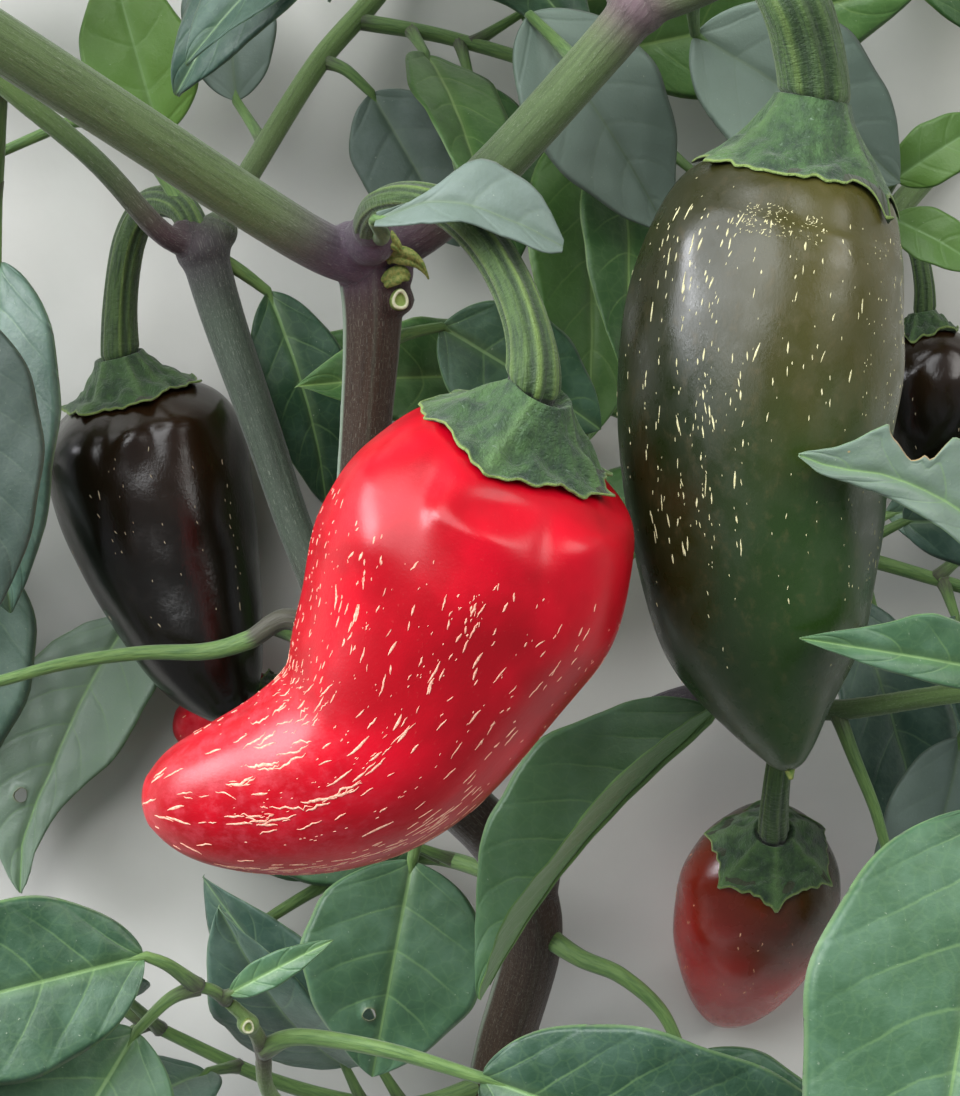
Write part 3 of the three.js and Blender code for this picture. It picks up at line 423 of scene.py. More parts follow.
def melted(points, faces, grain, rounds):
    """One skin over all that a set of tubes encloses, with its creases softened."""
    mesh = bpy.data.meshes.new("melting")
    mesh.from_pydata(points.tolist(), [], faces)
    lump = bpy.data.objects.new("melting", mesh)
    bpy.context.scene.collection.objects.link(lump)
    melt = lump.modifiers.new("melt", "REMESH")
    melt.mode = "VOXEL"
    melt.voxel_size = grain
    soften = lump.modifiers.new("soften", "SMOOTH")
    soften.iterations = rounds
    soften.factor = 0.5
    shape = lump.evaluated_get(bpy.context.evaluated_depsgraph_get()).to_mesh()
    corners = np.zeros(len(shape.vertices) * 3)
    shape.vertices.foreach_get("co", corners)
    skin = [tuple(face.vertices) for face in shape.polygons]
    bpy.data.objects.remove(lump)
    return corners.reshape(-1, 3), skin


def bark_layers(points):
    """For each corner of the melted skin: bark colour, place in the grain of its limb, and ridge."""
    spots = []
    colours = []
    frames = []
    runs = []
    ridges = []
    for number, (name, places) in enumerate(LIMBS.items()):
        shares = even_shares(places, LIMB_STEP)
        line = spots_on(places, shares)
        headings = headings_on(places, shares)
        across, beside = turned_frames(headings, (0, 0, 1))
        words = BARK_ALONG[name].split()
        tints = np.array([paint(*BARK_COLOURS[word])[:3] for word in words])
        seats = shares * (len(words) - 1)
        colours.append(np.stack([np.interp(seats, range(len(words)), tints[:, hue]) for hue in range(3)], 1))
        spots.append(line)
        frames.append(np.stack([across, beside], 1))
        runs.append(millimetres_along(line[:, :3]) + number * GRAIN_SHIFT)
        ridges += [STEM_RIDGES.get(name, [])] * len(shares)
    spots = np.vstack(spots)
    colours = np.vstack(colours)
    frames = np.vstack(frames)
    runs = np.concatenate(runs)
    bark = np.ones((len(points), 4))
    grain = np.zeros((len(points), 3))
    ridge = np.zeros(len(points))
    for start in range(0, len(points), CORNERS_AT_ONCE):
        now = slice(start, start + CORNERS_AT_ONCE)
        some = points[now]
        away = np.linalg.norm(some[:, None] - spots[None, :, :3], axis=2) - spots[None, :, 3]
        nearest = away.argmin(1)
        share = np.exp(-(away - away.min(1, keepdims=True)) / BARK_BLEND)
        share /= share.sum(1, keepdims=True)
        bark[now, :3] = share @ colours
        offset = some - spots[nearest, :3]
        over = (offset * frames[nearest, 0]).sum(1)
        side = (offset * frames[nearest, 1]).sum(1)
        grain[now] = np.stack([over, side, runs[nearest]], 1)
        angle = np.arctan2(side, over)
        for index, limb in enumerate(nearest):
            for degrees, height in ridges[limb]:
                gap = abs(math.remainder(angle[index] - math.radians(degrees), 2 * math.pi))
                if gap < RIDGE_REACH:
                    rise = min(height * 1.9, 1) * math.exp(-(gap / 0.24) ** 2)
                    ridge[start + index] = max(ridge[start + index], rise)
    return {"bark": bark, "grain": grain, "ridge": ridge}


limb_skins = [limb_skin(name, places) for name, places in LIMBS.items()]
limb_skins += [ball_skin(np.array(spot), radius) for *spot, radius in KNUCKLES]
limb_points, limb_faces = joined(limb_skins)
limb_points, limb_faces = melted(limb_points, limb_faces, MELT_GRAIN, MELT_ROUNDS)
skin_piece("stems_and_boughs", limb_points, limb_faces, stem_finish(), "bark_green", LIMBS,
           **bark_layers(limb_points))

# The leaf scar and the dry bud scales in the fork. Where a leaf has dropped off, a pale corky ring is left
# round green pith. The scales are thin, dry and curled, and stay stuck in the angle of the boughs.

LEAF_SCARS = [
    {"at": (-10.6, 32.9, 53.3), "out": (0.2, -0.1, 0.97), "radius": 1.25},
    {"at": (-29.3, -60.4, 69.5), "out": (0.3, -0.2, 0.93), "radius": 0.85},
]
# Reach and level of each ring of a scar, as shares of its radius, and 1 where it is cork
SCAR_PROFILE = [
    (1.25, -1.2, 0), (1.12, 0.1, 0), (1.05, 0.42, 1), (0.9, 0.5, 1), (0.74, 0.4, 1), (0.66, 0.16, 0),
    (0.3, 0.1, 0),
]
SCAR_SIDES = 28
# A scar is narrower across the stem than along it
SCAR_BREADTH = 0.82
BUD_SCALES = [
    [(-12.2, 38.0, 54.2, 0.6), (-11.4, 38.6, 55.4, 1.2), (-9.8, 38.4, 55.7, 1.3), (-8.2, 37.6, 55.1, 0.8),
     (-7.2, 36.4, 54.4, 0.3), (-6.8, 35.6, 53.8, 0.12)],
    [(-14.0, 41.4, 56.2, 0.5), (-12.6, 40.8, 57.6, 1.3), (-11.2, 39.8, 57.6, 0.9), (-10.4, 38.9, 57.0, 0.3)],
    [(-12.6, 35.2, 53.2, 0.9), (-11.6, 35.8, 54.2, 1.25), (-10.4, 36.2, 54.4, 1.2), (-9.4, 35.8, 53.6, 0.5)],
]
SCALE_FLATNESS = 0.35
SCALE_SIDES = 18
SCALE_STEP = 0.3


def scar_finish():
    finish = finish_named("leaf_scar_cork", specular_ior_level=0.3)
    cork = layer_of(finish, "cork", 2)
    grain = layer_of(finish, "grain")
    fine = cloud(finish, grain, (1.0, 1.0, 1.0), 3.5, 4.0, 0.7)
    pith = mixed(finish, fine, paint(96, 120, 52), paint(150, 168, 92))
    ring = mixed(finish, fine, paint(176, 176, 136), paint(226, 226, 196))
    colour = mixed(finish, cork, pith, ring)
    dress(finish, colour, step(finish, "MapRange", {0: fine, 3: 0.5, 4: 0.8}), fine, 0.00015)
    return finish


def scale_finish():
    finish = finish_named("dry_bud_scale", specular_ior_level=0.3)
    grain = layer_of(finish, "grain")
    streaks = cloud(finish, grain, (1.0, 1.0, 0.2), 2.4, 4.0, 0.65)
    colour = mixed(finish, fade(finish, streaks, 0.35, 0.7), paint(150, 152, 84), paint(92, 120, 54))
    dress(finish, colour, step(finish, "MapRange", {0: streaks, 3: 0.4, 4: 0.75}), streaks, 0.0002)
    return finish


def scar_skin(at, out, radius):
    out = unit(np.array(out))
    across = square_to(out, (0, 1, 0.2))
    beside = np.cross(out, across)
    angles = np.arange(SCAR_SIDES) / SCAR_SIDES * 2 * math.pi
    ragged = 1 + 0.06 * np.sin(3 * angles + at[0])
    rings = np.array([np.array(at) + out * level * radius
                      + np.outer(np.cos(angles) * ragged * reach * radius, across)
                      + np.outer(np.sin(angles) * ragged * reach * radius * SCAR_BREADTH, beside)
                      for reach, level, _ in SCAR_PROFILE])
    cork = np.repeat([ring[2] for ring in SCAR_PROFILE], SCAR_SIDES)
    return capped(rings), ring_faces(len(rings), SCAR_SIDES), np.concatenate([[0], cork, [0]])


def scale_flatness(share, angle):
    return SCALE_FLATNESS + (1 - SCALE_FLATNESS) * abs(np.sin(angle))


scars = [scar_skin(**scar) for scar in LEAF_SCARS]
points, faces = joined([scar[:2] for scar in scars])
skin_piece("leaf_scars", points, faces, scar_finish(), "bark_green", [],
           cork=np.concatenate([scar[2] for scar in scars]), grain=points)
skins = []
for places in BUD_SCALES:
    rings = tube_rings(places, even_shares(places, SCALE_STEP), SCALE_SIDES, scale_flatness)[0]
    skins.append((capped(rings), ring_faces(len(rings), SCALE_SIDES)))
points, faces = joined(skins)
skin_piece("bud_scales", points, faces, scale_finish(), "bark_green", [], grain=points)

# The red fruit, its stalk and its calyx. A ripe chilli pod has a glossy, waxy skin over three or four lobes,
# and this one bends at its tail. Where it grew too fast the skin split and healed as raised, pale cork.
# The stalk is ribbed and woody green, and its foot spreads into a toothed cap that grips the shoulders.

RED_FRUIT = {
    "axis": [
        (4.5, 12.9, 81.5, 8.5), (4.1, 12.1, 81.1, 12.8), (3.1, 10.2, 80.2, 15.9),
        (1.9, 6.9, 78.9, 18.1), (0, 1.5, 77.3, 19.4), (-2.7, -5.3, 76.2, 19.9), (-7.4, -14.8, 76, 17),
        (-13.5, -23.9, 76, 14.5), (-22.2, -28.5, 75.5, 12.2), (-31, -30.6, 75, 9.7),
        (-36.8, -31.1, 74.5, 7.2), (-39.8, -31.4, 74, 5.1), (-41.2, -31.5, 74, 3.2),
    ],
    "tip": (-42, -31.5, 74),
    "calyx": {"rim": 10.7, "collar": 4.0, "height": 7, "fall": 0.6, "scallop": 0.12,
              "teeth": (-132, -93, -8, 84, 112, 180)},
    "stalk": [
        (-14.6, 39.7, 52, 2.2), (-14.2, 42.2, 63, 2.0), (-12.3, 43.4, 71, 1.8), (-8.4, 43.4, 75.6, 2.0),
        (-3.7, 41.6, 77, 2.4), (0.6, 37.6, 78, 2.6), (3.9, 32, 80, 2.7), (5.9, 26, 82.6, 2.9),
        (6.4, 20.6, 84, 3.4), (5.5, 15.6, 82.7, 3.6),
    ],
    "lobes": (3, 0.03, 3.3),
    # The swellings and creases of the shoulders as the fruit lies: across, up, half length, half width,
    # degrees of turn, and rise
    "folds": [
        (-12.4, 9.8, 6.4, 3.4, 64, 1.5), (-6.2, 7.4, 5.6, 1.6, 78, -0.7), (-3.6, 5.4, 3.2, 1.8, 60, 0.45),
        (-0.2, 1.8, 6.8, 2.2, -32, 1.15), (2.6, 4.7, 4.6, 1.7, -14, -1.2), (12.6, 1.6, 4.0, 2.8, 60, 1.0),
        (8.2, 1.6, 3.4, 1.3, 75, -0.6), (-11.6, 1.6, 5.4, 2.6, 78, 0.5),
    ],
    # A flatter left shoulder, in the same terms
    "dents": [(-8.5, 15.5, 7.5, 5, 35, -1.7)],
}
FRUIT_SIDES = 120
FRUIT_STEP = 0.6
# Millimetres: rise of the shallow unevenness on a stout fruit, the radius of such a fruit, and the span over
# which kinks ease out
UNEVEN = 0.07
STOUT = 18
EASE = 2.2
# Rounds of smoothing where a sharp bend crowds the rings, rounds in which the smoothed part spreads, and
# rings at the crown and the tip that keep out of it
BEND_ROUNDS = 80
SPREAD_ROUNDS = 12
CROWN_RINGS = 22
TIP_RINGS = 10
# The way up on a fruit from which its angles count, and shares of the way to the tip at which rings close in
FRUIT_UP = (0.31, 0.17, 0.93)
CLOSING_SHARES = (0.12, 0.3, 0.5, 0.68, 0.82, 0.92, 0.98)
WAVES = 14


def eased_axis(axis):
    """Middle line and radius of a fruit at even steps along its outline, with the kinks eased out."""
    fine = spots_on(axis, np.linspace(0, 1, 900))
    run = millimetres_along(fine)
    even = np.linspace(0, run[-1], int(run[-1] / FRUIT_STEP) + 1)
    line = np.stack([np.interp(even, run, fine[:, part]) for part in range(4)], 1)
    reach = int(3 * EASE / FRUIT_STEP)
    kernel = np.exp(-0.5 * (np.arange(-reach, reach + 1) * FRUIT_STEP / EASE) ** 2)
    before = 2 * line[0] - line[reach:0:-1]
    after = 2 * line[-1] - line[-2:-reach - 2:-1]
    padded = np.vstack([before, line, after])
    return np.stack([np.convolve(padded[:, part], kernel / kernel.sum(), "valid") for part in range(4)], 1)


def fruit_rings(fruit, seed):
    """Rings of a fruit's skin, from the crown under the calyx to the tip, with their place in the grain."""
    count, depth, turn = fruit["lobes"]
    dice = np.random.default_rng(seed)
    waves = [(dice.integers(1, 9), dice.uniform(4, 30), dice.uniform(0, 6.3), dice.uniform(0, 6.3))
             for _ in range(WAVES)]

    def swell(share, angle):
        girth = 1 + depth * (1 - share) ** 2 * np.cos(count * angle + turn)
        for around, along, one, other in waves:
            girth = girth + UNEVEN / STOUT * np.cos(around * angle + one) * np.cos(along * share + other)
        return girth

    line = eased_axis(fruit["axis"])
    tip = np.array(fruit["tip"], float)
    shares = millimetres_along(line) / millimetres_along(line)[-1]
    headings = unit(np.gradient(line[:, :3], axis=0))
    rings, grain = rings_round(line, headings, shares, FRUIT_SIDES, swell, FRUIT_UP)
    # Rings that close in on the tip round off the blunt end
    end = rings[-1]
    middle = end.mean(0)
    closing = np.array([middle + (tip - middle) * part + (end - middle) * math.sqrt(1 - part)
                        for part in CLOSING_SHARES])
    rings = np.concatenate([rings, closing])
    extra = np.repeat(grain[-1:], len(closing), axis=0)
    extra[:, :, 2] += np.linspace(0.15, 1.2, len(closing))[:, None]
    grain = np.concatenate([grain, extra])
    outward = unit(rings - rings.mean(1, keepdims=True))
    facing = np.clip(outward[:, :, 2] * 2, 0, 1)
    shown = [(fold, facing) for fold in fruit.get("folds", [])]
    shown += [(dent, np.ones_like(facing)) for dent in fruit.get("dents", [])]
    for (right, up, long, wide, turned, rise), facing in shown:
        turned = math.radians(turned)
        over = rings[:, :, 0] - right
        above = rings[:, :, 1] - up
        u = (over * math.cos(turned) + above * math.sin(turned)) / long
        v = (above * math.cos(turned) - over * math.sin(turned)) / wide
        rings = rings + outward * (rise * facing * np.exp(-u ** 2 - v ** 2))[:, :, None]
    return uncrowded(rings, np.linalg.norm(np.diff(line[:, :3], axis=0), axis=1)), grain, tip


def uncrowded(rings, strides):
    """Rings smoothed along the fruit where they crowd together inside a bend."""
    gaps = np.linalg.norm(np.diff(rings[:len(strides) + 1], axis=0), axis=2)
    crowded = np.clip(1.5 - 2 * gaps / np.maximum(strides, 0.05)[:, None], 0, 1)
    crowded = np.concatenate([crowded[:1], np.maximum(crowded[1:], crowded[:-1]), crowded[-1:]])
    for _ in range(SPREAD_ROUNDS):
        spread = np.maximum(crowded[2:], crowded[:-2]) * 0.96
        crowded[1:-1] = np.maximum(crowded[1:-1], spread)
        around = np.maximum(np.roll(crowded, 1, 1), np.roll(crowded, -1, 1)) * 0.93
        crowded = np.maximum(crowded, around)
    crowded[:CROWN_RINGS] = 0
    crowded[-TIP_RINGS:] = 0
    part = crowded[1:-1, :, None] * 0.5
    rings = rings.copy()
    for _ in range(BEND_ROUNDS):
        middle = 0.5 * (rings[2:len(crowded)] + rings[:len(crowded) - 2])
        rings[1:len(crowded) - 1] += part * (middle - rings[1:len(crowded) - 1])
    return rings


def fruit_piece(name, fruit, finish, slot, seed):
    rings, grain, tip = fruit_rings(fruit, seed)
    sides = rings.shape[1]
    length = grain[-1, 0, 2]
    corners = capped(rings, None, tip)
    places = capped(grain, grain[0].mean(0), np.array([0, 0, length]))
    faces = ring_faces(len(rings), sides)
    skin_piece(name, corners, faces, finish, slot, [name], grain=places, down=places[:, 2] / length)
    return rings, grain, BVHTree.FromPolygons(corners.tolist(), faces)


def red_skin_finish():
    """Glossy red wall: deep red with brighter broad clouds, pink mottling where the cork has spread."""
    finish = finish_named("red_fruit_skin", coat_weight=0.28, coat_roughness=0.26, specular_ior_level=0.22)
    grain = layer_of(finish, "grain")
    down = layer_of(finish, "down", 2)
    broad = cloud(finish, grain, (1.0, 1.0, 0.7), 0.09, 3.0)
    mottle = cloud(finish, grain, (1.0, 1.0, 1.0), 0.55, 6.0, 0.7)
    fine = cloud(finish, grain, (1.0, 1.0, 0.6), 2.6, 4.0, 0.6)
    tail = product(finish, fade(finish, down, 0.52, 0.72), fade(finish, mottle, 0.42, 0.7))
    colour = coated(finish, paint(162, 0, 18), [
        (fade(finish, broad, 0.35, 0.7), paint(200, 2, 30)),
        (product(finish, tail, 0.5), paint(196, 66, 78)),
        (fade(finish, fine, 0.62, 0.76, 0.12), paint(240, 120, 110)),
    ])
    rough = step(finish, "MapRange", {0: mottle, 3: 0.28, 4: 0.44})
    rough = total(finish, rough, product(finish, tail, 0.05))
    dress(finish, colour, rough, fine, 0.00003)
    return finish


def cork_finish(name, pale, deep):
    """Healed splits: dry, pale and grained, in no way glossy."""
    finish = finish_named(name, specular_ior_level=0.25)
    fine = cloud(finish, layer_of(finish, "grain"), (1.0, 1.0, 1.0), 3.0, 4.0, 0.7)
    colour = mixed(finish, fade(finish, fine, 0.35, 0.65), pale, deep)
    dress(finish, colour, step(finish, "MapRange", {0: fine, 3: 0.55, 4: 0.85}), fine, 0.00008)
    return finish


# Millimetres between the rows of a split, and how far out and how high each lane of its strip lies
CORK_STEP = 0.35
CORK_LANES = ((-1, -0.05), (-0.5, 0.75), (0.5, 0.75), (1, -0.05))


def cork_skin(rings, grain, marks):
    """Raised strips that follow a fruit's skin. A mark is the millimetres down the fruit and the angle where
    it starts, its length, half width, height, slant and wander."""
    count, sides = rings.shape[:2]
    run = grain[:, 0, 2]
    girth = np.linalg.norm(rings - rings.mean(1, keepdims=True), axis=2).mean(1)
    corners = []
    faces = []
    for start, angle, length, width, height, slant, wander in marks:
        steps = max(int(length / CORK_STEP), 4)
        along = np.linspace(0, 1, steps + 1)
        down = start + length * along
        if down[-1] > run[-1] - 0.2:
            continue
        row = np.interp(down, run, np.arange(count))
        radius = np.interp(row, np.arange(count), girth)
        drift = np.concatenate([[0], np.cumsum(np.asarray(wander[:steps]))]) if len(wander) else 0
        turn = angle + (slant * length * along + drift) / np.maximum(radius, 1)
        half = width * np.sin(math.pi * (0.04 + 0.92 * along)) ** 0.8 / np.maximum(radius, 1)
        strip = []
        for shift, rise in CORK_LANES:
            column = (turn + half * shift) / (2 * math.pi) * sides
            strip.append(skin_spots(rings, row, column, rise * height))
        first = len(corners)
        corners.extend(np.stack(strip, 1).reshape(-1, 3))
        for cell in range(steps):
            for lane in range(3):
                here = first + cell * 4 + lane
                faces.append((here, here + 1, here + 5, here + 4))
    return np.array(corners), faces


def skin_spots(rings, row, column, rise):
    """Places on a fruit's skin at broken row and column numbers, lifted off it by rise."""
    count, sides = rings.shape[:2]
    upper = np.clip(row.astype(int), 0, count - 2)
    left = np.floor(column).astype(int)
    v = (row - upper)[:, None]
    u = (column - left)[:, None]
    a = rings[upper, left % sides]
    b = rings[upper, (left + 1) % sides]
    c = rings[upper + 1, left % sides]
    d = rings[upper + 1, (left + 1) % sides]
    outward = unit(np.cross(b + d - a - c, c + d - a - b))
    return (a * (1 - u) + b * u) * (1 - v) + (c * (1 - u) + d * u) * v + outward * rise


def cork_tracks(dice, tracks, run, radius, angles, lengths, gaps, widths, height, wander):
    """Marks that follow one another down the fruit in loose rows, as splits do: how many rows, where they
    start and end in millimetres, the fruit's radius there, the angles between which they lie, the middle,
    spread and greatest of their lengths, the mean gap, the half widths, the height, and how they wander."""
    marks = []
    for _ in range(tracks):
        angle = dice.uniform(*angles)
        down = run[0] + dice.exponential(gaps)
        while down < run[1]:
            length = float(np.clip(dice.lognormal(math.log(lengths[0]), lengths[1]), 0.25, lengths[2]))
            width = dice.uniform(*widths) * (0.6 + 0.4 * min(length / lengths[0], 1.6))
            steps = max(int(length / CORK_STEP), 4)
            marks.append((down, angle + dice.normal(0, 0.35) / radius, length, width, height,
                          dice.normal(0, 0.12), dice.normal(0, wander, steps)))
            down += length + dice.exponential(gaps)
    return marks


def cork_piece(name, rings, grain, bands, seed, pale, deep, slot):
    """All the splits of one fruit as one mesh, dealt band by band."""
    dice = np.random.default_rng(seed)
    marks = [mark for band in bands for mark in cork_tracks(dice, *band)]
    corners, faces = cork_skin(rings, grain, marks)
    skin_piece(name, corners, faces, cork_finish(name, pale, deep), slot, [], grain=corners)


# The bands of splits on the red fruit: down its front and its sides, across the bend, and round the tail
RED_CORK = [
    (26, (13, 46), 17, (-0.7, 1.1), (1.2, 0.55, 3.4), 4.0, (0.06, 0.15), 0.07, 0.05),
    (6, (10, 40), 17, (1.05, 1.7), (0.8, 0.5, 2.0), 3.6, (0.05, 0.1), 0.06, 0.04),
    (24, (14, 56), 17, (1.7, 5.0), (1.1, 0.6, 3), 6.0, (0.05, 0.12), 0.06, 0.04),
    (18, (38, 62), 15, (-1.7, -0.6), (1.0, 0.5, 2.4), 3.0, (0.05, 0.11), 0.06, 0.04),
    (12, (40, 50), 14, (0.7, 1.9), (1.3, 0.5, 2.6), 1.4, (0.05, 0.1), 0.06, 0.12),
    (12, (44, 56), 13, (-0.2, 1.1), (2.8, 0.4, 4.8), 2.6, (0.1, 0.18), 0.08, 0.17),
    (14, (52, 70), 9, (-1.4, 1.6), (1.6, 0.5, 3.0), 4.6, (0.08, 0.17), 0.08, 0.08),
    (10, (52, 70), 9, (1.6, 4.8), (1.4, 0.5, 2.6), 4.6, (0.08, 0.15), 0.08, 0.08),
    (60, (16, 60), 16, (-1.6, 4.7), (0.28, 0.2, 0.5), 4.6, (0.04, 0.07), 0.05, 0.0),
]
rings, grain, red_skin = fruit_piece("red_fruit", RED_FRUIT, red_skin_finish(), "skin_red", 3)
cork_piece("red_fruit_cork", rings, grain, RED_CORK, 17, paint(246, 200, 172), paint(232, 150, 128),
           "skin_red")

CALYX_SIDES = 140
CALYX_ROWS = 24
CALYX_RIBS = 9
CALYX_LUMPS = 16
# Rows of a calyx that turn over at the rim: share of the reach, and drop from the rim
CALYX_HEM = [(1.0, 0.0), (1.012, 0.16), (1.0, 0.36), (0.96, 0.55), (0.86, 0.6)]
STALK_SIDES = 60
STALK_STEP = 0.45
STALK_GROOVES = 6


def bands_round(angles, centres, widths, strengths=1.0):
    """How near each angle is to the nearest of a set of lines down a stalk, from 0 to 1."""
    gaps = np.angle(np.exp(1j * (np.asarray(angles)[..., None] - centres)))
    return (strengths * np.exp(-(gaps / widths) ** 2)).max(-1)


def calyx_skin(fruit, skin, seed, flare):
    """The toothed cap: a short collar round the foot of the stalk, which flares out over the shoulders."""
    shape = fruit["calyx"]
    top = np.array(fruit["axis"][0][:3], float)
    outward = unit(top - np.array(fruit["axis"][1][:3], float))
    across = square_to(outward, (0, 0, 1))
    beside = np.cross(outward, across)
    dice = np.random.default_rng(seed)
    tooth_angles = np.radians(shape["teeth"]) + dice.normal(0, 0.03, len(shape["teeth"]))
    teeth = len(tooth_angles)
    angles = np.arange(CALYX_SIDES) / CALYX_SIDES * 2 * math.pi
    gaps = np.angle(np.exp(1j * (angles[:, None] - tooth_angles)))
    tooth = (dice.uniform(0.6, 1.25, teeth) * np.exp(-(np.abs(gaps) / 0.1) ** 1.2)).max(1)
    scallop = np.exp(-(gaps / 0.42) ** 2).max(1)
    rib_angles = np.concatenate([tooth_angles, dice.uniform(0, 2 * math.pi, CALYX_RIBS - teeth)])
    rib = bands_round(angles, rib_angles, dice.uniform(0.06, 0.15, len(rib_angles)))
    ripple = sum(dice.uniform(0.004, 0.014) * np.cos(count * angles + dice.uniform(0, 6.3))
                 for count in (5, 8, 11, 13, 19, 27, 33))
    reach = shape["rim"] * (1 + 0.15 * tooth + shape["scallop"] * scallop + ripple)
    lumps = [(dice.integers(1, 14), dice.uniform(3, 16), dice.uniform(0, 6.3), dice.uniform(0, 6.3))
             for _ in range(CALYX_LUMPS)]
    shares = np.concatenate([np.linspace(0, 0.9, CALYX_ROWS - 6), [0.925, 0.945, 0.962, 0.978, 0.99, 1.0]])
    rows = [(t, 1.0, 0.0) for t in shares] + [(1.0, *hem) for hem in CALYX_HEM[1:]]
    rings = []
    for t, share, drop in rows:
        radius = (shape["collar"] + (reach - shape["collar"]) * t ** 1.1) * share
        lump = sum(np.cos(count * angles + one) * math.cos(length * t + other)
                   for count, length, one, other in lumps)
        ring = []
        for side, angle in enumerate(angles):
            ray = across * math.cos(angle) + beside * math.sin(angle)
            hit = skin.ray_cast(Vector(top + ray * radius[side] + outward * 25), Vector(-outward))[0]
            level = -shape["fall"] - 3 if hit is None else float((np.array(hit) - top) @ outward)
            level = max(level, -shape["fall"] - 4.5)
            lift = (shape["height"] - level) * (1 - t) ** flare + 0.25 + 0.4 * t - drop
            lift += 0.55 * rib[side] * (1 - t) ** 0.7 * min(4 * t, 1) + 0.13 * lump[side] * min(3 * t, 1)
            lift += 1.1 * tooth[side] * t ** 10 + 0.22 * math.exp(-((1 - t) / 0.035) ** 2)
            ring.append(top + ray * radius[side] + outward * (level + lift))
        rings.append(ring)
    # Two rings turn in at the collar, so that the stalk stands in a shallow cup
    height = shape["height"]
    cup = [top + (np.array(rings[0]) - top - outward * height) * share + outward * (height + rise)
           for share, rise in ((0.7, -0.8), (0.86, -0.05), (0.96, 0.12))]
    rings = np.array(cup + rings)
    run = np.concatenate([[-1, -0.4, -0.1], [t * 9 + drop for t, _, drop in rows]])
    # Past 1 the hem counts the rows turned under the rim, which the finish paints dark as painted shadow
    hem = np.concatenate([[0, 0, 0], [t + drop for t, _, drop in rows]])
    grain = np.stack([np.cos(angles)[None] * (4 + run[:, None]), np.sin(angles)[None] * (4 + run[:, None]),
                      np.repeat(run[:, None], CALYX_SIDES, axis=1)], -1)
    worn = np.stack([np.repeat(rib[None], len(rings), axis=0), np.zeros(rings.shape[:2]),
                     np.repeat(hem[:, None], CALYX_SIDES, axis=1)], -1)
    return rings, grain, worn


def stalk_finish():
    """Ribbed green stalk and leathery cap: pale lines on the ribs, dark furrows of painted shade, a thin pale
    rim, painted shadow under the turned-over rim, and painted shade at the joint of stalk and cap.
    """
    finish = finish_named("fruit_stalk_skin", sheen_weight=0.2, sheen_roughness=0.5, specular_ior_level=0.35)
    grain = layer_of(finish, "grain")
    worn = layer_of(finish, "worn")
    rib = parts_of(finish, worn, 0)
    furrow_shade = parts_of(finish, worn, 1)
    edge = parts_of(finish, worn, 2)
    cap = layer_of(finish, "cap", 2)
    streaks = cloud(finish, grain, (1.0, 1.0, 0.12), 2.0, 3.0, 0.6)
    blotches = cloud(finish, grain, (1.0, 1.0, 0.8), 0.4, 5.0, 0.65)
    pits = cloud(finish, grain, (0.7, 0.7, 1.6), 1.5, 3.0, 0.65)
    dashes = product(finish, furrow_shade, fade(finish, pits, 0.3, 0.6))
    stalk = coated(finish, paint(68, 94, 44), [
        (fade(finish, streaks, 0.35, 0.7), paint(42, 66, 32)),
        (product(finish, rib, 0.65), paint(118, 142, 68)),
        # painted shade along the furrows and the dashes in them
        (product(finish, total(finish, furrow_shade, dashes), 0.48), paint(34, 54, 26)),
    ])
    leather = coated(finish, paint(26, 50, 30), [
        (fade(finish, blotches, 0.3, 0.7), paint(62, 94, 48)),
        (product(finish, rib, 0.4), paint(98, 130, 72)),
        (fade(finish, pits, 0.6, 0.74, 0.35), paint(140, 160, 142)),
        (fade(finish, pits, 0.4, 0.28, 0.5), paint(30, 56, 32)),
    ])
    colour = coated(finish, stalk, [
        (cap, leather),
        (fade(finish, edge, 0.955, 1.03), paint(118, 140, 70)),
        # painted shadow under the turned-over rim of the cap
        (fade(finish, edge, 1.2, 1.5), paint(44, 52, 26)),
        # painted shade in the narrow gap where the stalk stands in the cap
        (fade(finish, edge, -0.3, -0.8), paint(22, 32, 16)),
    ])
    rough = step(finish, "MapRange", {0: blotches, 3: 0.42, 4: 0.68})
    height = total(finish, streaks, pits)
    dress(finish, colour, rough, height, 0.0003)
    return finish


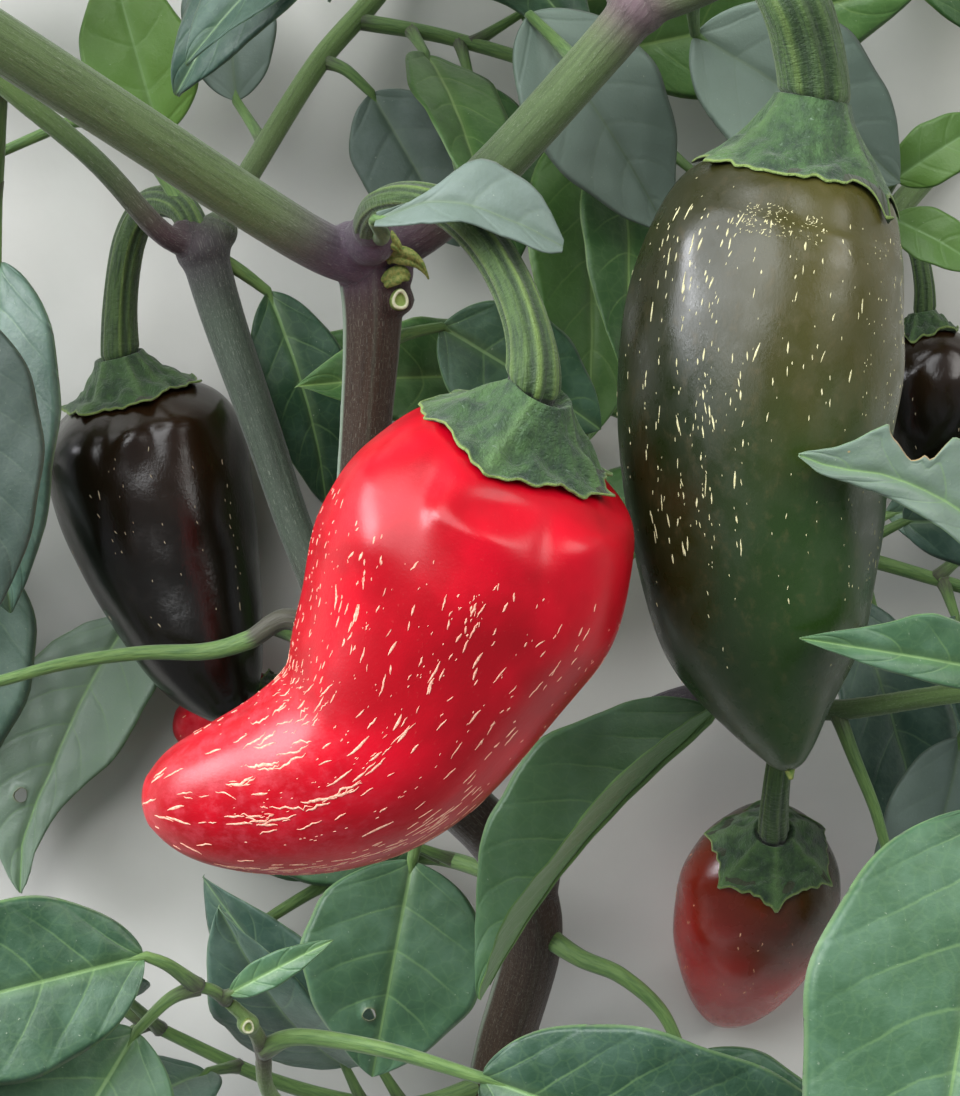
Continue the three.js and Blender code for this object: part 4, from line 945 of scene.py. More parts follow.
def stalk_piece(name, fruit, skin, finish, seed, flare=2.2):
    """A fruit's stalk and calyx in one mesh, with the narrow joint where the two meet."""
    places = fruit["stalk"]
    dice = np.random.default_rng(seed + 100)
    grooves = (np.arange(STALK_GROOVES) / STALK_GROOVES * 2 * math.pi + dice.normal(0, 0.2, STALK_GROOVES))
    widths = dice.uniform(0.1, 0.2, STALK_GROOVES)
    ribs = np.concatenate([grooves - widths - 0.12, grooves + widths + 0.12])
    bright = dice.uniform(0.1, 1.0, len(ribs))

    def swell(share, angle):
        foot = 1 - 0.55 * np.clip((share - 0.985) / 0.015, 0, 1) ** 2
        return foot * (1 - 0.1 * bands_round(angle, grooves, widths) + 0.03 * bands_round(angle, ribs, 0.1))

    shares = even_shares(places, STALK_STEP)
    rings, grain = tube_rings(places, shares, STALK_SIDES, swell, FRUIT_UP)
    angles = np.arange(STALK_SIDES) / STALK_SIDES * 2 * math.pi
    marks = np.stack([bands_round(angles, ribs, 0.07, bright), bands_round(angles, grooves, widths),
                      0 * angles], -1)
    worn = np.repeat(marks[None], len(rings), axis=0)
    # The stalk narrows at its joint with the cap, and a dark line of painted shade marks the gap there
    top = np.array(fruit["axis"][0][:3], float)
    outward = unit(top - np.array(fruit["axis"][1][:3], float))
    middles = rings.mean(1, keepdims=True)
    above = (rings - top) @ outward - fruit["calyx"]["height"]
    near_cap = np.arange(len(rings))[:, None] > len(rings) / 2
    pinch = 1 - 0.13 * np.interp(above, [0.1, 0.8], [1, 0]) * near_cap
    rings = middles + (rings - middles) * pinch[:, :, None]
    worn[:, :, 2] = -np.interp(above, [0.15, 0.5], [1, 0]) * near_cap
    cap_rings, cap_grain, cap_worn = calyx_skin(fruit, skin, seed, flare)
    points, faces = joined([(capped(rings), ring_faces(len(rings), STALK_SIDES)),
                            (capped(cap_rings), ring_faces(len(cap_rings), CALYX_SIDES))])
    is_cap = np.arange(len(points)) >= rings.shape[0] * STALK_SIDES + 2
    skin_piece(name, points, faces, finish, "stalk", [name],
               grain=np.vstack([capped(grain), capped(cap_grain)]),
               worn=np.vstack([capped(worn), capped(cap_worn)]), cap=is_cap.astype(float))


stalk_skin = stalk_finish()
stalk_piece("red_fruit_stalk", RED_FRUIT, red_skin, stalk_skin, 2, 1.7)

# The green fruit. It hangs on the stoutest stalk, unripe: olive-brown where the sun falls, bottle green
# below, with rows of short cream splits and the dry scrap of the flower's style at its tip.

GREEN_FRUIT = {
    "axis": [
        (41, 49.2, 65.3, 8.5), (40.7, 47.5, 65, 12), (40, 44.4, 64.6, 14.3), (39, 40.9, 64, 15.8),
        (37.9, 35.9, 64, 17.1), (36.3, 27.3, 64, 18.2), (35.4, 16.8, 64, 17.9), (35.2, 6.2, 64, 16.7),
        (35.8, -3.5, 64, 15.2), (36.6, -11.7, 64, 13.2), (37.4, -17.1, 64, 10.2),
        (38.3, -21.6, 64, 6.9), (39.2, -25.5, 64, 4.2), (39.5, -27.5, 64, 2.4),
    ],
    "tip": (39.7, -28.6, 64),
    "calyx": {"rim": 12.2, "collar": 4.95, "height": 8, "fall": 2.2, "scallop": 0.03,
              "teeth": (-97, -62, 52, 99, 140, 200)},
    "stalk": [
        (33.4, 74.8, 66, 3.4), (36.2, 73.2, 70, 3.6), (39.2, 68.6, 72, 4.2), (41.1, 64, 70, 4.4),
        (42.3, 58.7, 68, 4.5), (42.4, 54.5, 66.8, 4.6), (41.7, 51, 65.6, 4.6),
    ],
    "lobes": (4, 0.02, 0.2),
    "folds": [
        (26.2, 39.8, 5.5, 3.4, 60, 1.1), (31.6, 39.4, 4.5, 2.4, 80, -0.4), (38.6, 38.4, 6, 2.4, 92, -0.3),
        (45.2, 37, 8, 3.4, 84, 0.6),
    ],
}
# The bands of its splits: thick on the left of the front, looser beside them, a russet patch at the crown,
# and a few all over
GREEN_CORK = [
    (17, (9, 50), 17, (0.5, 1.35), (0.8, 0.55, 2.6), 3.6, (0.05, 0.12), 0.07, 0.02),
    (8, (6, 34), 17, (-0.5, 0.5), (0.8, 0.5, 2.4), 5.4, (0.05, 0.12), 0.07, 0.02),
    (24, (6, 12), 15, (0.1, 0.75), (0.26, 0.3, 0.5), 1.0, (0.04, 0.07), 0.05, 0.1),
    (26, (6, 66), 16, (-1.6, 4.7), (0.5, 0.4, 1.6), 9.0, (0.04, 0.08), 0.06, 0.02),
    (32, (5, 56), 17, (-1.6, 1.9), (0.26, 0.2, 0.45), 7.5, (0.03, 0.05), 0.05, 0.0),
]
# The dry style: places and radius
STYLE = [(39.75, -28.4, 64, 0.75), (39.8, -29.0, 64.1, 0.55), (39.9, -29.7, 64.3, 0.3)]
STYLE_RINGS = 7
STYLE_SIDES = 14


def ripening_finish(name, top, low, dark, blush, coat=0.2, shine=(0.26, 0.42)):
    """Glossy unripe wall: one colour at the crown, another below, a dark side and a warm side."""
    finish = finish_named(name, coat_weight=coat, coat_roughness=0.32, specular_ior_level=0.4)
    grain = layer_of(finish, "grain")
    down = layer_of(finish, "down", 2)
    broad = cloud(finish, grain, (1.0, 1.0, 0.6), 0.08, 3.0)
    mottle = cloud(finish, grain, (1.0, 1.0, 0.8), 0.6, 5.0, 0.65)
    fine = cloud(finish, grain, (1.0, 1.0, 0.5), 2.8, 4.0, 0.6)
    depth = total(finish, down, product(finish, worked(finish, "SUBTRACT", broad, 0.5), 0.5))
    side = parts_of(finish, grain, 1)
    colour = coated(finish, top, [
        (fade(finish, depth, 0.15, 0.6), low),
        (fade(finish, side, -2.0, 16.0, 0.8), dark),
        (fade(finish, side, -14.0, -18.5, 0.6), blush),
        (fade(finish, mottle, 0.5, 0.8, 0.12), blush),
    ])
    patches = cloud(finish, grain, (1.0, 1.0, 0.8), 0.3, 3.0, 0.5)
    rough = step(finish, "MapRange", {0: fade(finish, patches, 0.4, 0.6), 3: shine[0], 4: shine[1]})
    dress(finish, colour, rough, total(finish, fine, product(finish, patches, 2.0)), 0.00003)
    return finish


rings, grain, green_skin = fruit_piece(
    "green_fruit", GREEN_FRUIT,
    ripening_finish("green_fruit_skin", paint(72, 68, 28), paint(36, 60, 20), paint(22, 26, 10),
                    paint(134, 110, 70)),
    "skin_green", 5)
cork_piece("green_fruit_cork", rings, grain, GREEN_CORK, 29, paint(228, 222, 180), paint(196, 190, 140),
           "skin_green")
stalk_piece("green_fruit_stalk", GREEN_FRUIT, green_skin, stalk_skin, 7, 2.4)
rings, grain = tube_rings(STYLE, np.linspace(0, 1, STYLE_RINGS), STYLE_SIDES)
skin_piece("green_fruit_style", capped(rings), ring_faces(STYLE_RINGS, STYLE_SIDES), scale_finish(),
           "skin_green", [], grain=capped(grain))

# The two near-black fruits. Purple pigment in the skin makes an unripe pod look black; the wall under it
# is still green. One hangs at the left of the stem and a smaller one low at the right edge.

DARK_FRUIT = {
    "axis": [
        (-51.6, 22.8, 16.15, 7.7), (-51.2, 21.2, 15.75, 11.4), (-50.7, 19, 15.25, 13.5),
        (-49.8, 15.2, 14.95, 14.8), (-47.9, 7.1, 15.45, 14.6), (-44, -4.7, 17.9, 12.2),
        (-40.3, -14.1, 21.3, 9.4), (-37.3, -20, 24, 6.4), (-35.8, -23, 25.5, 3.7),
    ],
    "tip": (-35.1, -24.6, 26.2),
    "calyx": {"rim": 9.2, "collar": 3.7, "height": 5.5, "fall": 1.2, "scallop": 0.08,
              "teeth": (-100, -40, 15, 80, 130, 200)},
    "stalk": [
        (-39.5, 42.5, 28, 2.2), (-42.6, 48.6, 27.5, 2.2), (-47.6, 49.6, 23, 2.3),
        (-51.1, 45, 19.5, 2.4), (-52.7, 36.4, 17.8, 2.5), (-52.8, 28.4, 17, 2.9),
        (-51.9, 24.6, 16.3, 3.2),
    ],
    "lobes": (5, 0.03, 0.9),
    "folds": [(-57.5, 17.5, 4, 2.5, 50, 0.8), (-53.5, 15.5, 4.4, 1.3, 78, -0.6), (-50, 16, 3.6, 1.8, 85, 0.6),
              (-46.6, 17, 4, 1.4, -75, -0.5), (-43, 18.5, 4, 2.4, -20, 0.7)],
}
EDGE_FRUIT = {
    "axis": [
        (66.2, 32, 12.6, 3.8), (66.4, 30.9, 12.5, 6), (66.8, 28.4, 12.2, 7.6), (67.2, 23, 12, 8),
        (67.4, 16, 11.6, 6.6), (67.6, 11, 11.2, 4),
    ],
    "tip": (67.7, 8.6, 11),
    "calyx": {"rim": 4.6, "collar": 2.1, "height": 2.8, "fall": 0.6, "scallop": 0.1,
              "teeth": (-100, -30, 40, 110, 180)},
    "stalk": [
        (62.2, 49.8, 4.5, 1.5), (65, 45.5, 10, 1.4), (66, 39.5, 12.6, 1.5), (66.1, 33.2, 12.8, 1.8),
    ],
    "lobes": (3, 0.04, 0),
}
# Their few splits, all round
DARK_CORK = [(26, (8, 40), 13, (0, 6.28), (0.5, 0.4, 1.4), 13.0, (0.05, 0.08), 0.05, 0.02)]
dark_wall = ripening_finish("dark_fruit_skin", paint(38, 24, 11), paint(16, 12, 6), paint(9, 7, 4),
                            paint(48, 32, 20), 0.08, (0.14, 0.22))
for name, fruit, seed in (("dark_fruit", DARK_FRUIT, 11), ("edge_fruit", EDGE_FRUIT, 13)):
    rings, grain, skin = fruit_piece(name, fruit, dark_wall, "skin_dark", seed)
    cork_piece(name + "_cork", rings, grain, DARK_CORK, seed, paint(190, 178, 150), paint(160, 146, 118),
               "skin_dark")
    stalk_piece(name + "_stalk", fruit, skin, stalk_skin, seed)

# The fruit that is turning from green to red, and a small red one behind the stem. The skin keeps a muddy
# brown-green cap under the calyx while the rest has already coloured.

TURNING_FRUIT = {
    "axis": [
        (41, -42, 32.8, 6.2), (41, -43.2, 31.4, 8.6), (40.9, -45, 29.2, 10.4),
        (40.5, -48.6, 24.6, 11.5), (39.5, -55.2, 17.6, 11.2), (38.5, -62.2, 10.8, 9),
        (37.5, -67.6, 5.4, 6), (36.9, -70.6, 2.3, 3.1),
    ],
    "tip": (36.6, -72.2, 0),
    "calyx": {"rim": 7.8, "collar": 3, "height": 3.6, "fall": 1.3, "scallop": 0.08,
              "teeth": (-110, -55, 0, 60, 120, 180)},
    "stalk": [
        (42, -20.9, 40, 1.8), (41.3, -26.2, 43.5, 1.7), (40.6, -31.2, 43.5, 1.8),
        (40.6, -36.4, 39.5, 2), (41, -40.6, 34.6, 2.3),
    ],
    "lobes": (3, 0.05, 0.5),
}
SMALL_RED_FRUIT = {
    "axis": [
        (-30.5, -23, 8.8, 3.4), (-31.6, -23.3, 8.4, 5), (-34.3, -24.2, 7.6, 6.2),
        (-37.8, -25.2, 7, 6.5), (-41.6, -26.4, 6.6, 5.6), (-44.8, -27.5, 6.2, 3.2),
    ],
    "tip": (-46.2, -28.1, 6.1),
    "calyx": {"rim": 4.2, "collar": 2, "height": 2.8, "fall": 0.6, "scallop": 0.1,
              "teeth": (-110, -40, 30, 100, 170)},
    "stalk": [
        (-17.8, -16.3, 37, 1.5), (-20.5, -21, 24, 1.4), (-24.8, -21.8, 13, 1.5),
        (-29.2, -22.7, 9.4, 1.7),
    ],
    "lobes": (3, 0.04, 0),
}
# Their splits, all round
TURNING_CORK = [(22, (6, 30), 10, (0, 6.28), (0.7, 0.5, 1.8), 7.0, (0.05, 0.1), 0.06, 0.04)]
# Its reds are partly the fruit's own deep colour and partly painted shade, darkened because it hangs in the
# shade of the leaves
turning_wall = ripening_finish("turning_fruit_skin", paint(58, 42, 16), paint(176, 8, 5), paint(128, 8, 5),
                               paint(160, 30, 14), 0.1, (0.22, 0.3))
for name, fruit, wall, slot, seed in (
        ("turning_fruit", TURNING_FRUIT, turning_wall, "skin_turning", 19),
        ("small_red_fruit", SMALL_RED_FRUIT, red_skin_finish(), "skin_red", 23)):
    rings, grain, skin = fruit_piece(name, fruit, wall, slot, seed)
    cork_piece(name + "_cork", rings, grain, TURNING_CORK, seed, paint(236, 190, 150), paint(206, 150, 116),
               slot)
    stalk_piece(name + "_stalk", fruit, skin, stalk_skin, seed)

# The leaves that the branch is known by. A chilli leaf is a smooth, soft blade on a grooved stalk, drawn out
# to a point, with a pale midrib sunk in its upper face and side veins that arch forward to the margin.


def leaf_at(stalk, tip, width, face, arch, fold, **marks):
    """One leaf: places and half thickness of its stalk, tip, width, the way it faces, rise, fold in degrees.

    What marks it out may be added: tone from -1, painted shade, to 2, a pale painted sheen of the sky; young,
    the yellow-green share of each half, which on a shaded half is painted light; rows, how finely it is cut;
    midrib, how far that wanders sideways, and edges, how wide each half is, by share of the length; holes, by
    side, place and radius; bites, by side, place, half length and depth, with their dry rim; specks, by
    millimetres across and place; flush, how purple the stalk is along its millimetres; and shown_stalk, where
    the stalk is seen to run."""
    return {"stalk": stalk, "tip": tip, "width": width, "face": face, "arch": arch, "fold": fold, **marks}


# A tone above 1 paints a pale grey-green sheen of the sky on a blade, and a tone below 0 paints shade on it
FOLIAGE = {
    "fork_leaf": [
        leaf_at([(-16.2, 38.6, 53, 1.3), (-18.4, 42.4, 62, 1.1), (-18.4, 43.4, 72, 0.95),
                 (-16.2, 42, 79, 0.8), (-12.8, 39.9, 81.4, 0.7)],
                (10.1, 36.7, 82), 11.5, (0, 0.45, 0.9), 3, 14, rows=90,
                midrib=[(0, 0), (0.08, -0.5), (0.175, -1.28), (0.254, -1.95), (0.337, -2.1),
                        (0.455, -2.08), (0.594, -1.5), (0.68, -1.14), (0.77, -0.9), (0.9, -0.3), (1, 0)],
                edges=[[(0, 0.9), (0.08, 0.7), (0.17, 0.75), (0.25, 1.5), (0.32, 2.8), (0.38, 4.2),
                        (0.43, 5.1), (0.515, 5.95), (0.59, 6.3), (0.67, 6.0), (0.754, 5.35), (0.853, 4.6),
                        (0.913, 3.5), (0.958, 2.2), (1, 1.0)],
                       [(0, 1.2), (0.06, 2.0), (0.14, 3.0), (0.22, 3.8), (0.306, 4.15), (0.4, 3.8),
                        (0.547, 3.1), (0.633, 2.9), (0.721, 2.95), (0.835, 3.05), (0.9, 2.8),
                        (0.948, 2.3), (1, 1.2)]],
                shown_stalk=[(-13.2, 40.8, 58, 1.2), (-12.5, 40.1, 66, 1.0), (-12.6, 39.7, 74, 0.85),
                            (-12.9, 39.8, 79.5, 0.75), (-12.8, 39.9, 81.4, 0.7)]),
    ],
    "leaf_under_dark_fruit": [
        leaf_at([(-19, -15.6, 34, 1.2), (-25.6, -13.2, 22, 1.1), (-32.5, -11.6, 10, 1),
                 (-40.1, -10.4, 4.5, 0.9), (-47.1, -9.1, 3.2, 0.8), (-52.4, -9.4, 4, 0.7)],
                (-69.1, -51.9, 8), 25, (-0.45, 0, 1), 4, 6, rows=90, holes=[(0.28, 0.7, 1.1)], tone=1.9,
                young=(0.12, 0.12),
                midrib=[(0, 0), (0.3, 0.85), (0.6, 0.9), (0.7, 1.4), (0.85, 1.6), (1, 0)],
                edges=[[(0, 0.3), (0.06, 4.5), (0.138, 9.0), (0.18, 11.2), (0.225, 11.5), (0.348, 11.2),
                        (0.5, 9.4), (0.631, 5.9), (0.696, 4.6), (0.747, 3.9), (0.83, 3.6), (0.914, 2.8),
                        (0.96, 1.7), (1, 0.3)],
                       [(0, 0.3), (0.1, 6), (0.2, 9.5), (0.35, 11.5), (0.5, 11.3), (0.65, 9.8), (0.8, 7),
                        (0.9, 4.4), (0.96, 2.4), (1, 0.3)]]),
    ],
    "leaf_across_dark_fruit": [
        leaf_at([(-17.8, -16.3, 37, 1.6), (-26, -9.9, 38, 1.4), (-32.2, -12.8, 37, 1.3),
                 (-38.2, -14.4, 36.5, 1.2), (-47.1, -14.6, 37, 1), (-57.4, -16, 39, 0.9),
                 (-66, -18.3, 41, 0.8), (-73.4, -20, 43, 0.7)],
                (-101, -36, 44), 19, (0.1, 0, 1), 3, 10, flush=([0, 16, 21], [1.3, 1.1, 0])),
    ],
    "leaf_behind_stem": [
        leaf_at([(-39.5, 42.5, 28, 1.1), (-34.8, 40, 25.6, 1), (-30.6, 37, 23.6, 0.75)],
                (-22.8, 6.3, 15), 14, (0.3, 0.2, 0.9), 4, 10),
    ],
    "folded_leaf": [
        leaf_at([(42, -20.9, 40, 1.2), (37.1, -18.6, 45, 1), (31.6, -21.8, 48, 0.8)],
                # On this leaf the tone and the young share light up the half that lies in shade: painted
                # light
                (-0.7, -61.2, 44), 26, (-0.63, 0.52, 0.57), 3, 50, tone=1.0, young=(0.85, 0.1)),
    ],
    "leaf_low_right": [
        leaf_at([(7.8, -55.5, 18, 1.5), (14.3, -59.3, 22, 1.3), (20.2, -61.5, 24.5, 1.2),
                 (26, -66.5, 25, 1), (29.4, -73.4, 25, 0.8)],
                (52, -96, 20), 19, (0.1, 0.1, 1), 3, 10),
    ],
    "leaf_below_red_fruit": [
        leaf_at([(-5.7, -32.8, 31, 1.4), (-8.2, -38, 36.5, 1.1), (-9.4, -43.4, 37.5, 0.8)],
                (-15.1, -74, 35), 26, (0, 0, 1), 2, 6, holes=[(0.2, 0.7, 0.9)]),
    ],
    "low_shoot_leaves": [
        leaf_at([(-32.2, -56.6, 70.8), (-31.4, -55.8, 72)],
                (-18.2, -48.6, 75), 4.2, (0, 0.2, 1), 1, 12),
        leaf_at([(-35.2, -54.6, 74), (-38.2, -51.2, 78.6), (-40.9, -49.8, 80)],
                (-83, -59.9, 84), 22, (0.05, 0.15, 1), 3, 8),
        leaf_at([(-35.2, -54.6, 74), (-38.6, -56, 75.4), (-42.4, -59.7, 76)],
                (-63.1, -93.6, 78), 26, (0, 0, 1), 3, 8),
    ],
    "bottom_leaf": [
        leaf_at([(-27.9, -64.4, 64, 1.2), (-22.8, -62, 68, 1.1), (-11.6, -62.9, 72, 1),
                 (0, -65.9, 74, 0.8)],
                (54.9, -80, 79), 27, (0.05, -0.1, 1), 4, 10, tone=-0.2),
    ],
    "right_leaves": [
        leaf_at([(77, -17.4, 64), (76, -12.5, 70), (71, -7.4, 73)],
                (38.6, 11.2, 84.5), 14.5, (0.1, 0.2, 1), 1, 8, rows=130, tone=1.8, specks=[(2.2, 0.87)],
                bites=[(1, 0.69, 0.115, 0)],
                midrib=[(0, 0), (0.15, 2.6), (0.3, 4), (0.43, 4.3), (0.5, 4.35), (0.58, 4.1),
                        (0.65, 3.75), (0.74, 3), (0.84, 1.4), (0.92, 0.45), (1, 0)],
                edges=[[(0, 0.3), (0.2, 3.2), (0.36, 4.2), (0.43, 4.1), (0.52, 3.7), (0.6, 3.25),
                        (0.68, 2.8), (0.76, 2.5), (0.83, 1.75), (0.89, 1.7), (0.94, 1.4), (0.98, 0.7),
                        (1, 0.3)],
                       [(0, 0.3), (0.2, 4.6), (0.4, 7.4), (0.5, 7.9), (0.575, 7.7), (0.59, 7.2),
                        (0.597, 5.4), (0.605, 4.3), (0.62, 3.6), (0.635, 4.3), (0.645, 3.4), (0.668, 2.7),
                        (0.69, 3.0), (0.715, 3.6), (0.76, 4.8), (0.78, 5.6), (0.795, 6.6), (0.803, 6.5),
                        (0.838, 5.4), (0.87, 3.9), (0.908, 2.6), (0.96, 1.35), (0.985, 0.8), (1, 0.3)]]),
        leaf_at([(76, -18, 61), (75, -18, 65), (70.6, -16.6, 68.3)],
                (39.3, -11, 80), 11, (0.1, 0.1, 1), 1.5, 12,
                edges=[[(0, 0.3), (0.15, 2.1), (0.3, 3.0), (0.38, 3.2), (0.51, 3.0), (0.64, 2.5),
                        (0.776, 1.9), (0.91, 1.05), (0.976, 0.4), (1, 0.1)],
                       [(0, 0.3), (0.1, 1.8), (0.2, 3.4), (0.3, 4.6), (0.36, 5.1), (0.43, 5.5),
                        (0.52, 5.65), (0.6, 5.0), (0.68, 3.8), (0.79, 2.4), (0.92, 1.1), (1, 0.1)]]),
        leaf_at([(77.6, -17.2, 65.4), (76, -22, 78), (68, -27, 88), (60.6, -30.6, 91.4)],
                (49, -91, 97), 37, (-0.12, 0, 1), 5, 8),
        leaf_at([(77.8, -17.1, 65.8), (83, -14, 70), (86, -9, 72)],
                (99, 24, 68), 17, (0.2, 0, 1), 4, 10),
    ],
    "leaf_by_turning_fruit": [
        leaf_at([(48.4, -22, 45, 1), (50.6, -28.3, 46.5, 0.9), (53.4, -35.1, 46, 0.8),
                 (55.4, -41.4, 44.5, 0.7)],
                (53, -63, 36), 12, (0.2, 0, 1), 2, 10),
    ],
    "leaf_behind_red_stalk": [
        leaf_at([(-15, 27, 47.6, 1.1), (-10, 29.5, 40, 0.9), (-5.4, 31, 34.6, 0.7)],
                (17.1, 16.8, 29), 18, (0.1, 0.1, 1), 2, 8),
    ],
    "leaf_behind_right_bough": [
        leaf_at([(13.7, 62.3, 59, 1.1), (10.7, 67.4, 50, 0.9), (6.6, 72.4, 45.6, 0.7)],
                (26.4, 43.9, 36), 20, (0.1, 0.2, 1), 2, 8, tone=1.6),
    ],
    "leaf_behind_green_stalk": [
        leaf_at([(27.6, 72.2, 64, 1.1), (28.2, 71, 54, 0.9), (29, 69.4, 47.4, 0.7)],
                (58.6, 50.7, 38), 23, (0.1, 0.1, 1), 3, 8, tone=1.9),
    ],
    "leaves_at_right_edge": [
        leaf_at([(57.4, 50, 26), (59, 52.4, 29)],
                (73, 61, 32), 9, (0, 0.1, 1), 2, 10, young=(0.7, 0.8)),
        leaf_at([(57.5, 49.4, 23), (58.6, 47, 28)],
                (72, 38.6, 31), 8, (0, 0.1, 1), 2, 10, young=(0.7, 0.6)),
    ],
    "bright_leaf_top_left": [
        leaf_at([(-35.6, 49.6, 25.2, 1), (-41.5, 54.6, 19, 0.9), (-47, 60.6, 16.4, 0.7)],
                (-54, 86, 18), 17, (0, 0, 1), 2, 6, young=(0.8, 0.8)),
    ],
    "dark_leaf_top_left": [
        leaf_at([(-31.2, 58.4, 21.4, 1), (-33.6, 62.4, 16, 0.8), (-36.2, 66.4, 13, 0.7)],
                (-38.6, 94, 9), 14, (0, 0, 1), 2, 6),
    ],
    "pale_leaf_top": [
        leaf_at([(-23.7, 72.2, 14, 1.1), (-19.9, 70.6, 15.4, 0.9), (-16, 67, 16, 0.7)],
                (-3, 44.6, 14), 16, (0, 0, 1), 2, 6),
    ],
    "arched_leaf_left": [
        leaf_at([(-39.5, 42.5, 28, 1.1), (-45.4, 53.4, 28, 0.95), (-51.6, 59.6, 28.4, 0.9),
                 (-57.6, 60.6, 29, 0.85), (-62.4, 58.8, 29, 0.8), (-71.8, 54.6, 29, 0.7)],
                (-96, 36, 32), 18, (0, 0, 1), 3, 8),
    ],
    "leaf_at_left_edge": [
        leaf_at([(-73.6, 71.2, 46.5, 1.1), (-78.5, 62, 46, 1), (-77, 48, 47, 0.85), (-72, 33, 46.6, 0.7)],
                # Its tone below 0 darkens the whole blade as painted shade
                (-66, -9, 45), 21, (0.1, 0, 1), 3, 8, tone=-0.6),
    ],
    "leaf_low_right_back": [
        leaf_at([(64.5, -19, 53.2, 1), (66.5, -22.6, 47, 0.9), (66, -26, 42, 0.7)],
                (60, -56, 30), 18, (0.1, 0, 1), 2, 8),
    ],
}
# The twigs of the masses that grow on one of their own: places and radius
TWIGS = {
    "low_shoot_leaves": [(-31.85, -57, 70.3, 0.85), (-33.6, -55.3, 72.2, 0.8), (-35.4, -54.6, 74, 0.75)],
    "right_leaves": [(73.5, -18.27, 58.15, 1.3), (76, -18, 61, 1.2), (78, -17, 66, 1.1)],
    "leaves_at_right_edge": [(59.6, 46, 5.4, 1.2), (57.6, 48.4, 16, 1), (57.4, 50, 27, 0.8)],
}
# Thickness of a stalk where it leaves the stem and where it meets the blade
STALK_FOOT = 1.0
STALK_HEAD = 0.65
LEAF_STALK_SIDES = 12
LEAF_STALK_STEP = 0.6
TWIG_SIDES = 14
BLADE_THICKNESS = 0.34
BLADE_ROWS = 62
BLADE_COLUMNS = 29
# Where a blade is widest, and how its end is drawn out: less is blunter
WIDEST = 0.4
DRAWN_OUT = 0.9
# Millimetres between side veins, and how few and how many a side may have
VEIN_GAP = 6.5
VEIN_COUNTS = (4, 8)
# Round the rim of a hole, in rows and columns of the blade from its middle
HOLE_LOOP = ([(-2, step) for step in range(-2, 2)] + [(step, 2) for step in range(-2, 2)]
             + [(2, -step) for step in range(-2, 2)] + [(-step, -2) for step in range(-2, 2)])


def leaf_outline(share):
    """Half width of a blade along its midrib, 1 at its widest."""
    return (share / WIDEST) ** (1.5 * WIDEST) * ((1 - share) / (1 - WIDEST)) ** DRAWN_OUT


def leaf_stalk(stalk):
    last = len(stalk) - 1
    return [spot if len(spot) == 4 else (*spot, STALK_FOOT + (STALK_HEAD - STALK_FOOT) * index / last)
            for index, spot in enumerate(stalk)]


def blade_frame(leaf):
    foot = np.array(leaf["stalk"][-1][:3], float)
    chord = np.array(leaf["tip"], float) - foot
    heading = unit(chord)
    upward = square_to(heading, leaf["face"])
    return foot, chord, upward, np.cross(heading, upward)


def blade_spots(leaf, share, over, outline=None):
    """Places on a blade: along the midrib by share, across it from -1 to 1."""
    foot, chord, upward, beside = blade_frame(leaf)
    tilt = math.radians(leaf["fold"])
    reach = np.abs(over) * leaf["width"] / 2 * (leaf_outline(share) if outline is None else outline)
    rise = leaf["arch"] * 4 * share * (1 - share) + reach * math.sin(tilt)
    side = np.sign(over) * reach * math.cos(tilt)
    if "midrib" in leaf:
        side = side + np.interp(share, *np.transpose(leaf["midrib"]))
    return foot + share[..., None] * chord + rise[..., None] * upward + side[..., None] * beside


def cut_holes(leaf, length, share, across, worn):
    """Moves the corners two cells from the middle of each hole out to its rim. It gives back which corners
    lie inside a hole, and the corners round each."""
    inside = np.zeros(share.shape, bool)
    rims = []
    for centre, middle, size in leaf.get("holes", []):
        seat = centre * leaf["width"] / 2 * leaf_outline(middle)
        away = np.hypot(across - seat, (share - middle) * length)
        row, column = np.unravel_index(away.argmin(), away.shape)
        inside[row - 1:row + 2, column - 1:column + 2] = True
        rim = [(row + down, column + right) for down, right in HOLE_LOOP]
        for (down, right), corner in zip(HOLE_LOOP, rim):
            way = math.atan2(down, right)
            across[corner] = seat + size * math.cos(way) * (1 + 0.1 * math.sin(3 * way))
            share[corner] = middle + size * math.sin(way) / length
            worn[corner] = 0.5
        rims.append(rim)
    return inside, rims


def blade_relief(length, veins, share, over, across, wave):
    """How far a blade stands off its plain curve: midrib sunk, web between the veins raised, margin wavy."""
    lane = (share - 0.2 * np.abs(over) ** 1.3) * veins
    between = 0.5 - 0.5 * np.cos(2 * math.pi * lane)
    ruffle = length * 0.012 * np.abs(over) ** 2 * (np.sin(9 * share + wave[0] + 1.5 * np.sign(over))
                                                    + 0.5 * np.sin(17 * share + wave[1]))
    sway = (length * 0.012 * np.sin(5 * share + wave[2]) * share
            + length * 0.006 * over * np.sin(4 * share + wave[4]))
    relief = (-0.4 * np.exp(-(across / 0.6) ** 2)
              + 0.24 * between * np.abs(over) ** 0.6 * (1 - np.abs(over) ** 4)
              + 0.1 * np.sin(1.1 * across + wave[3]) * np.sin(0.9 * share * length + wave[1]))
    return relief * min(length / 40, 1.2) + ruffle + sway


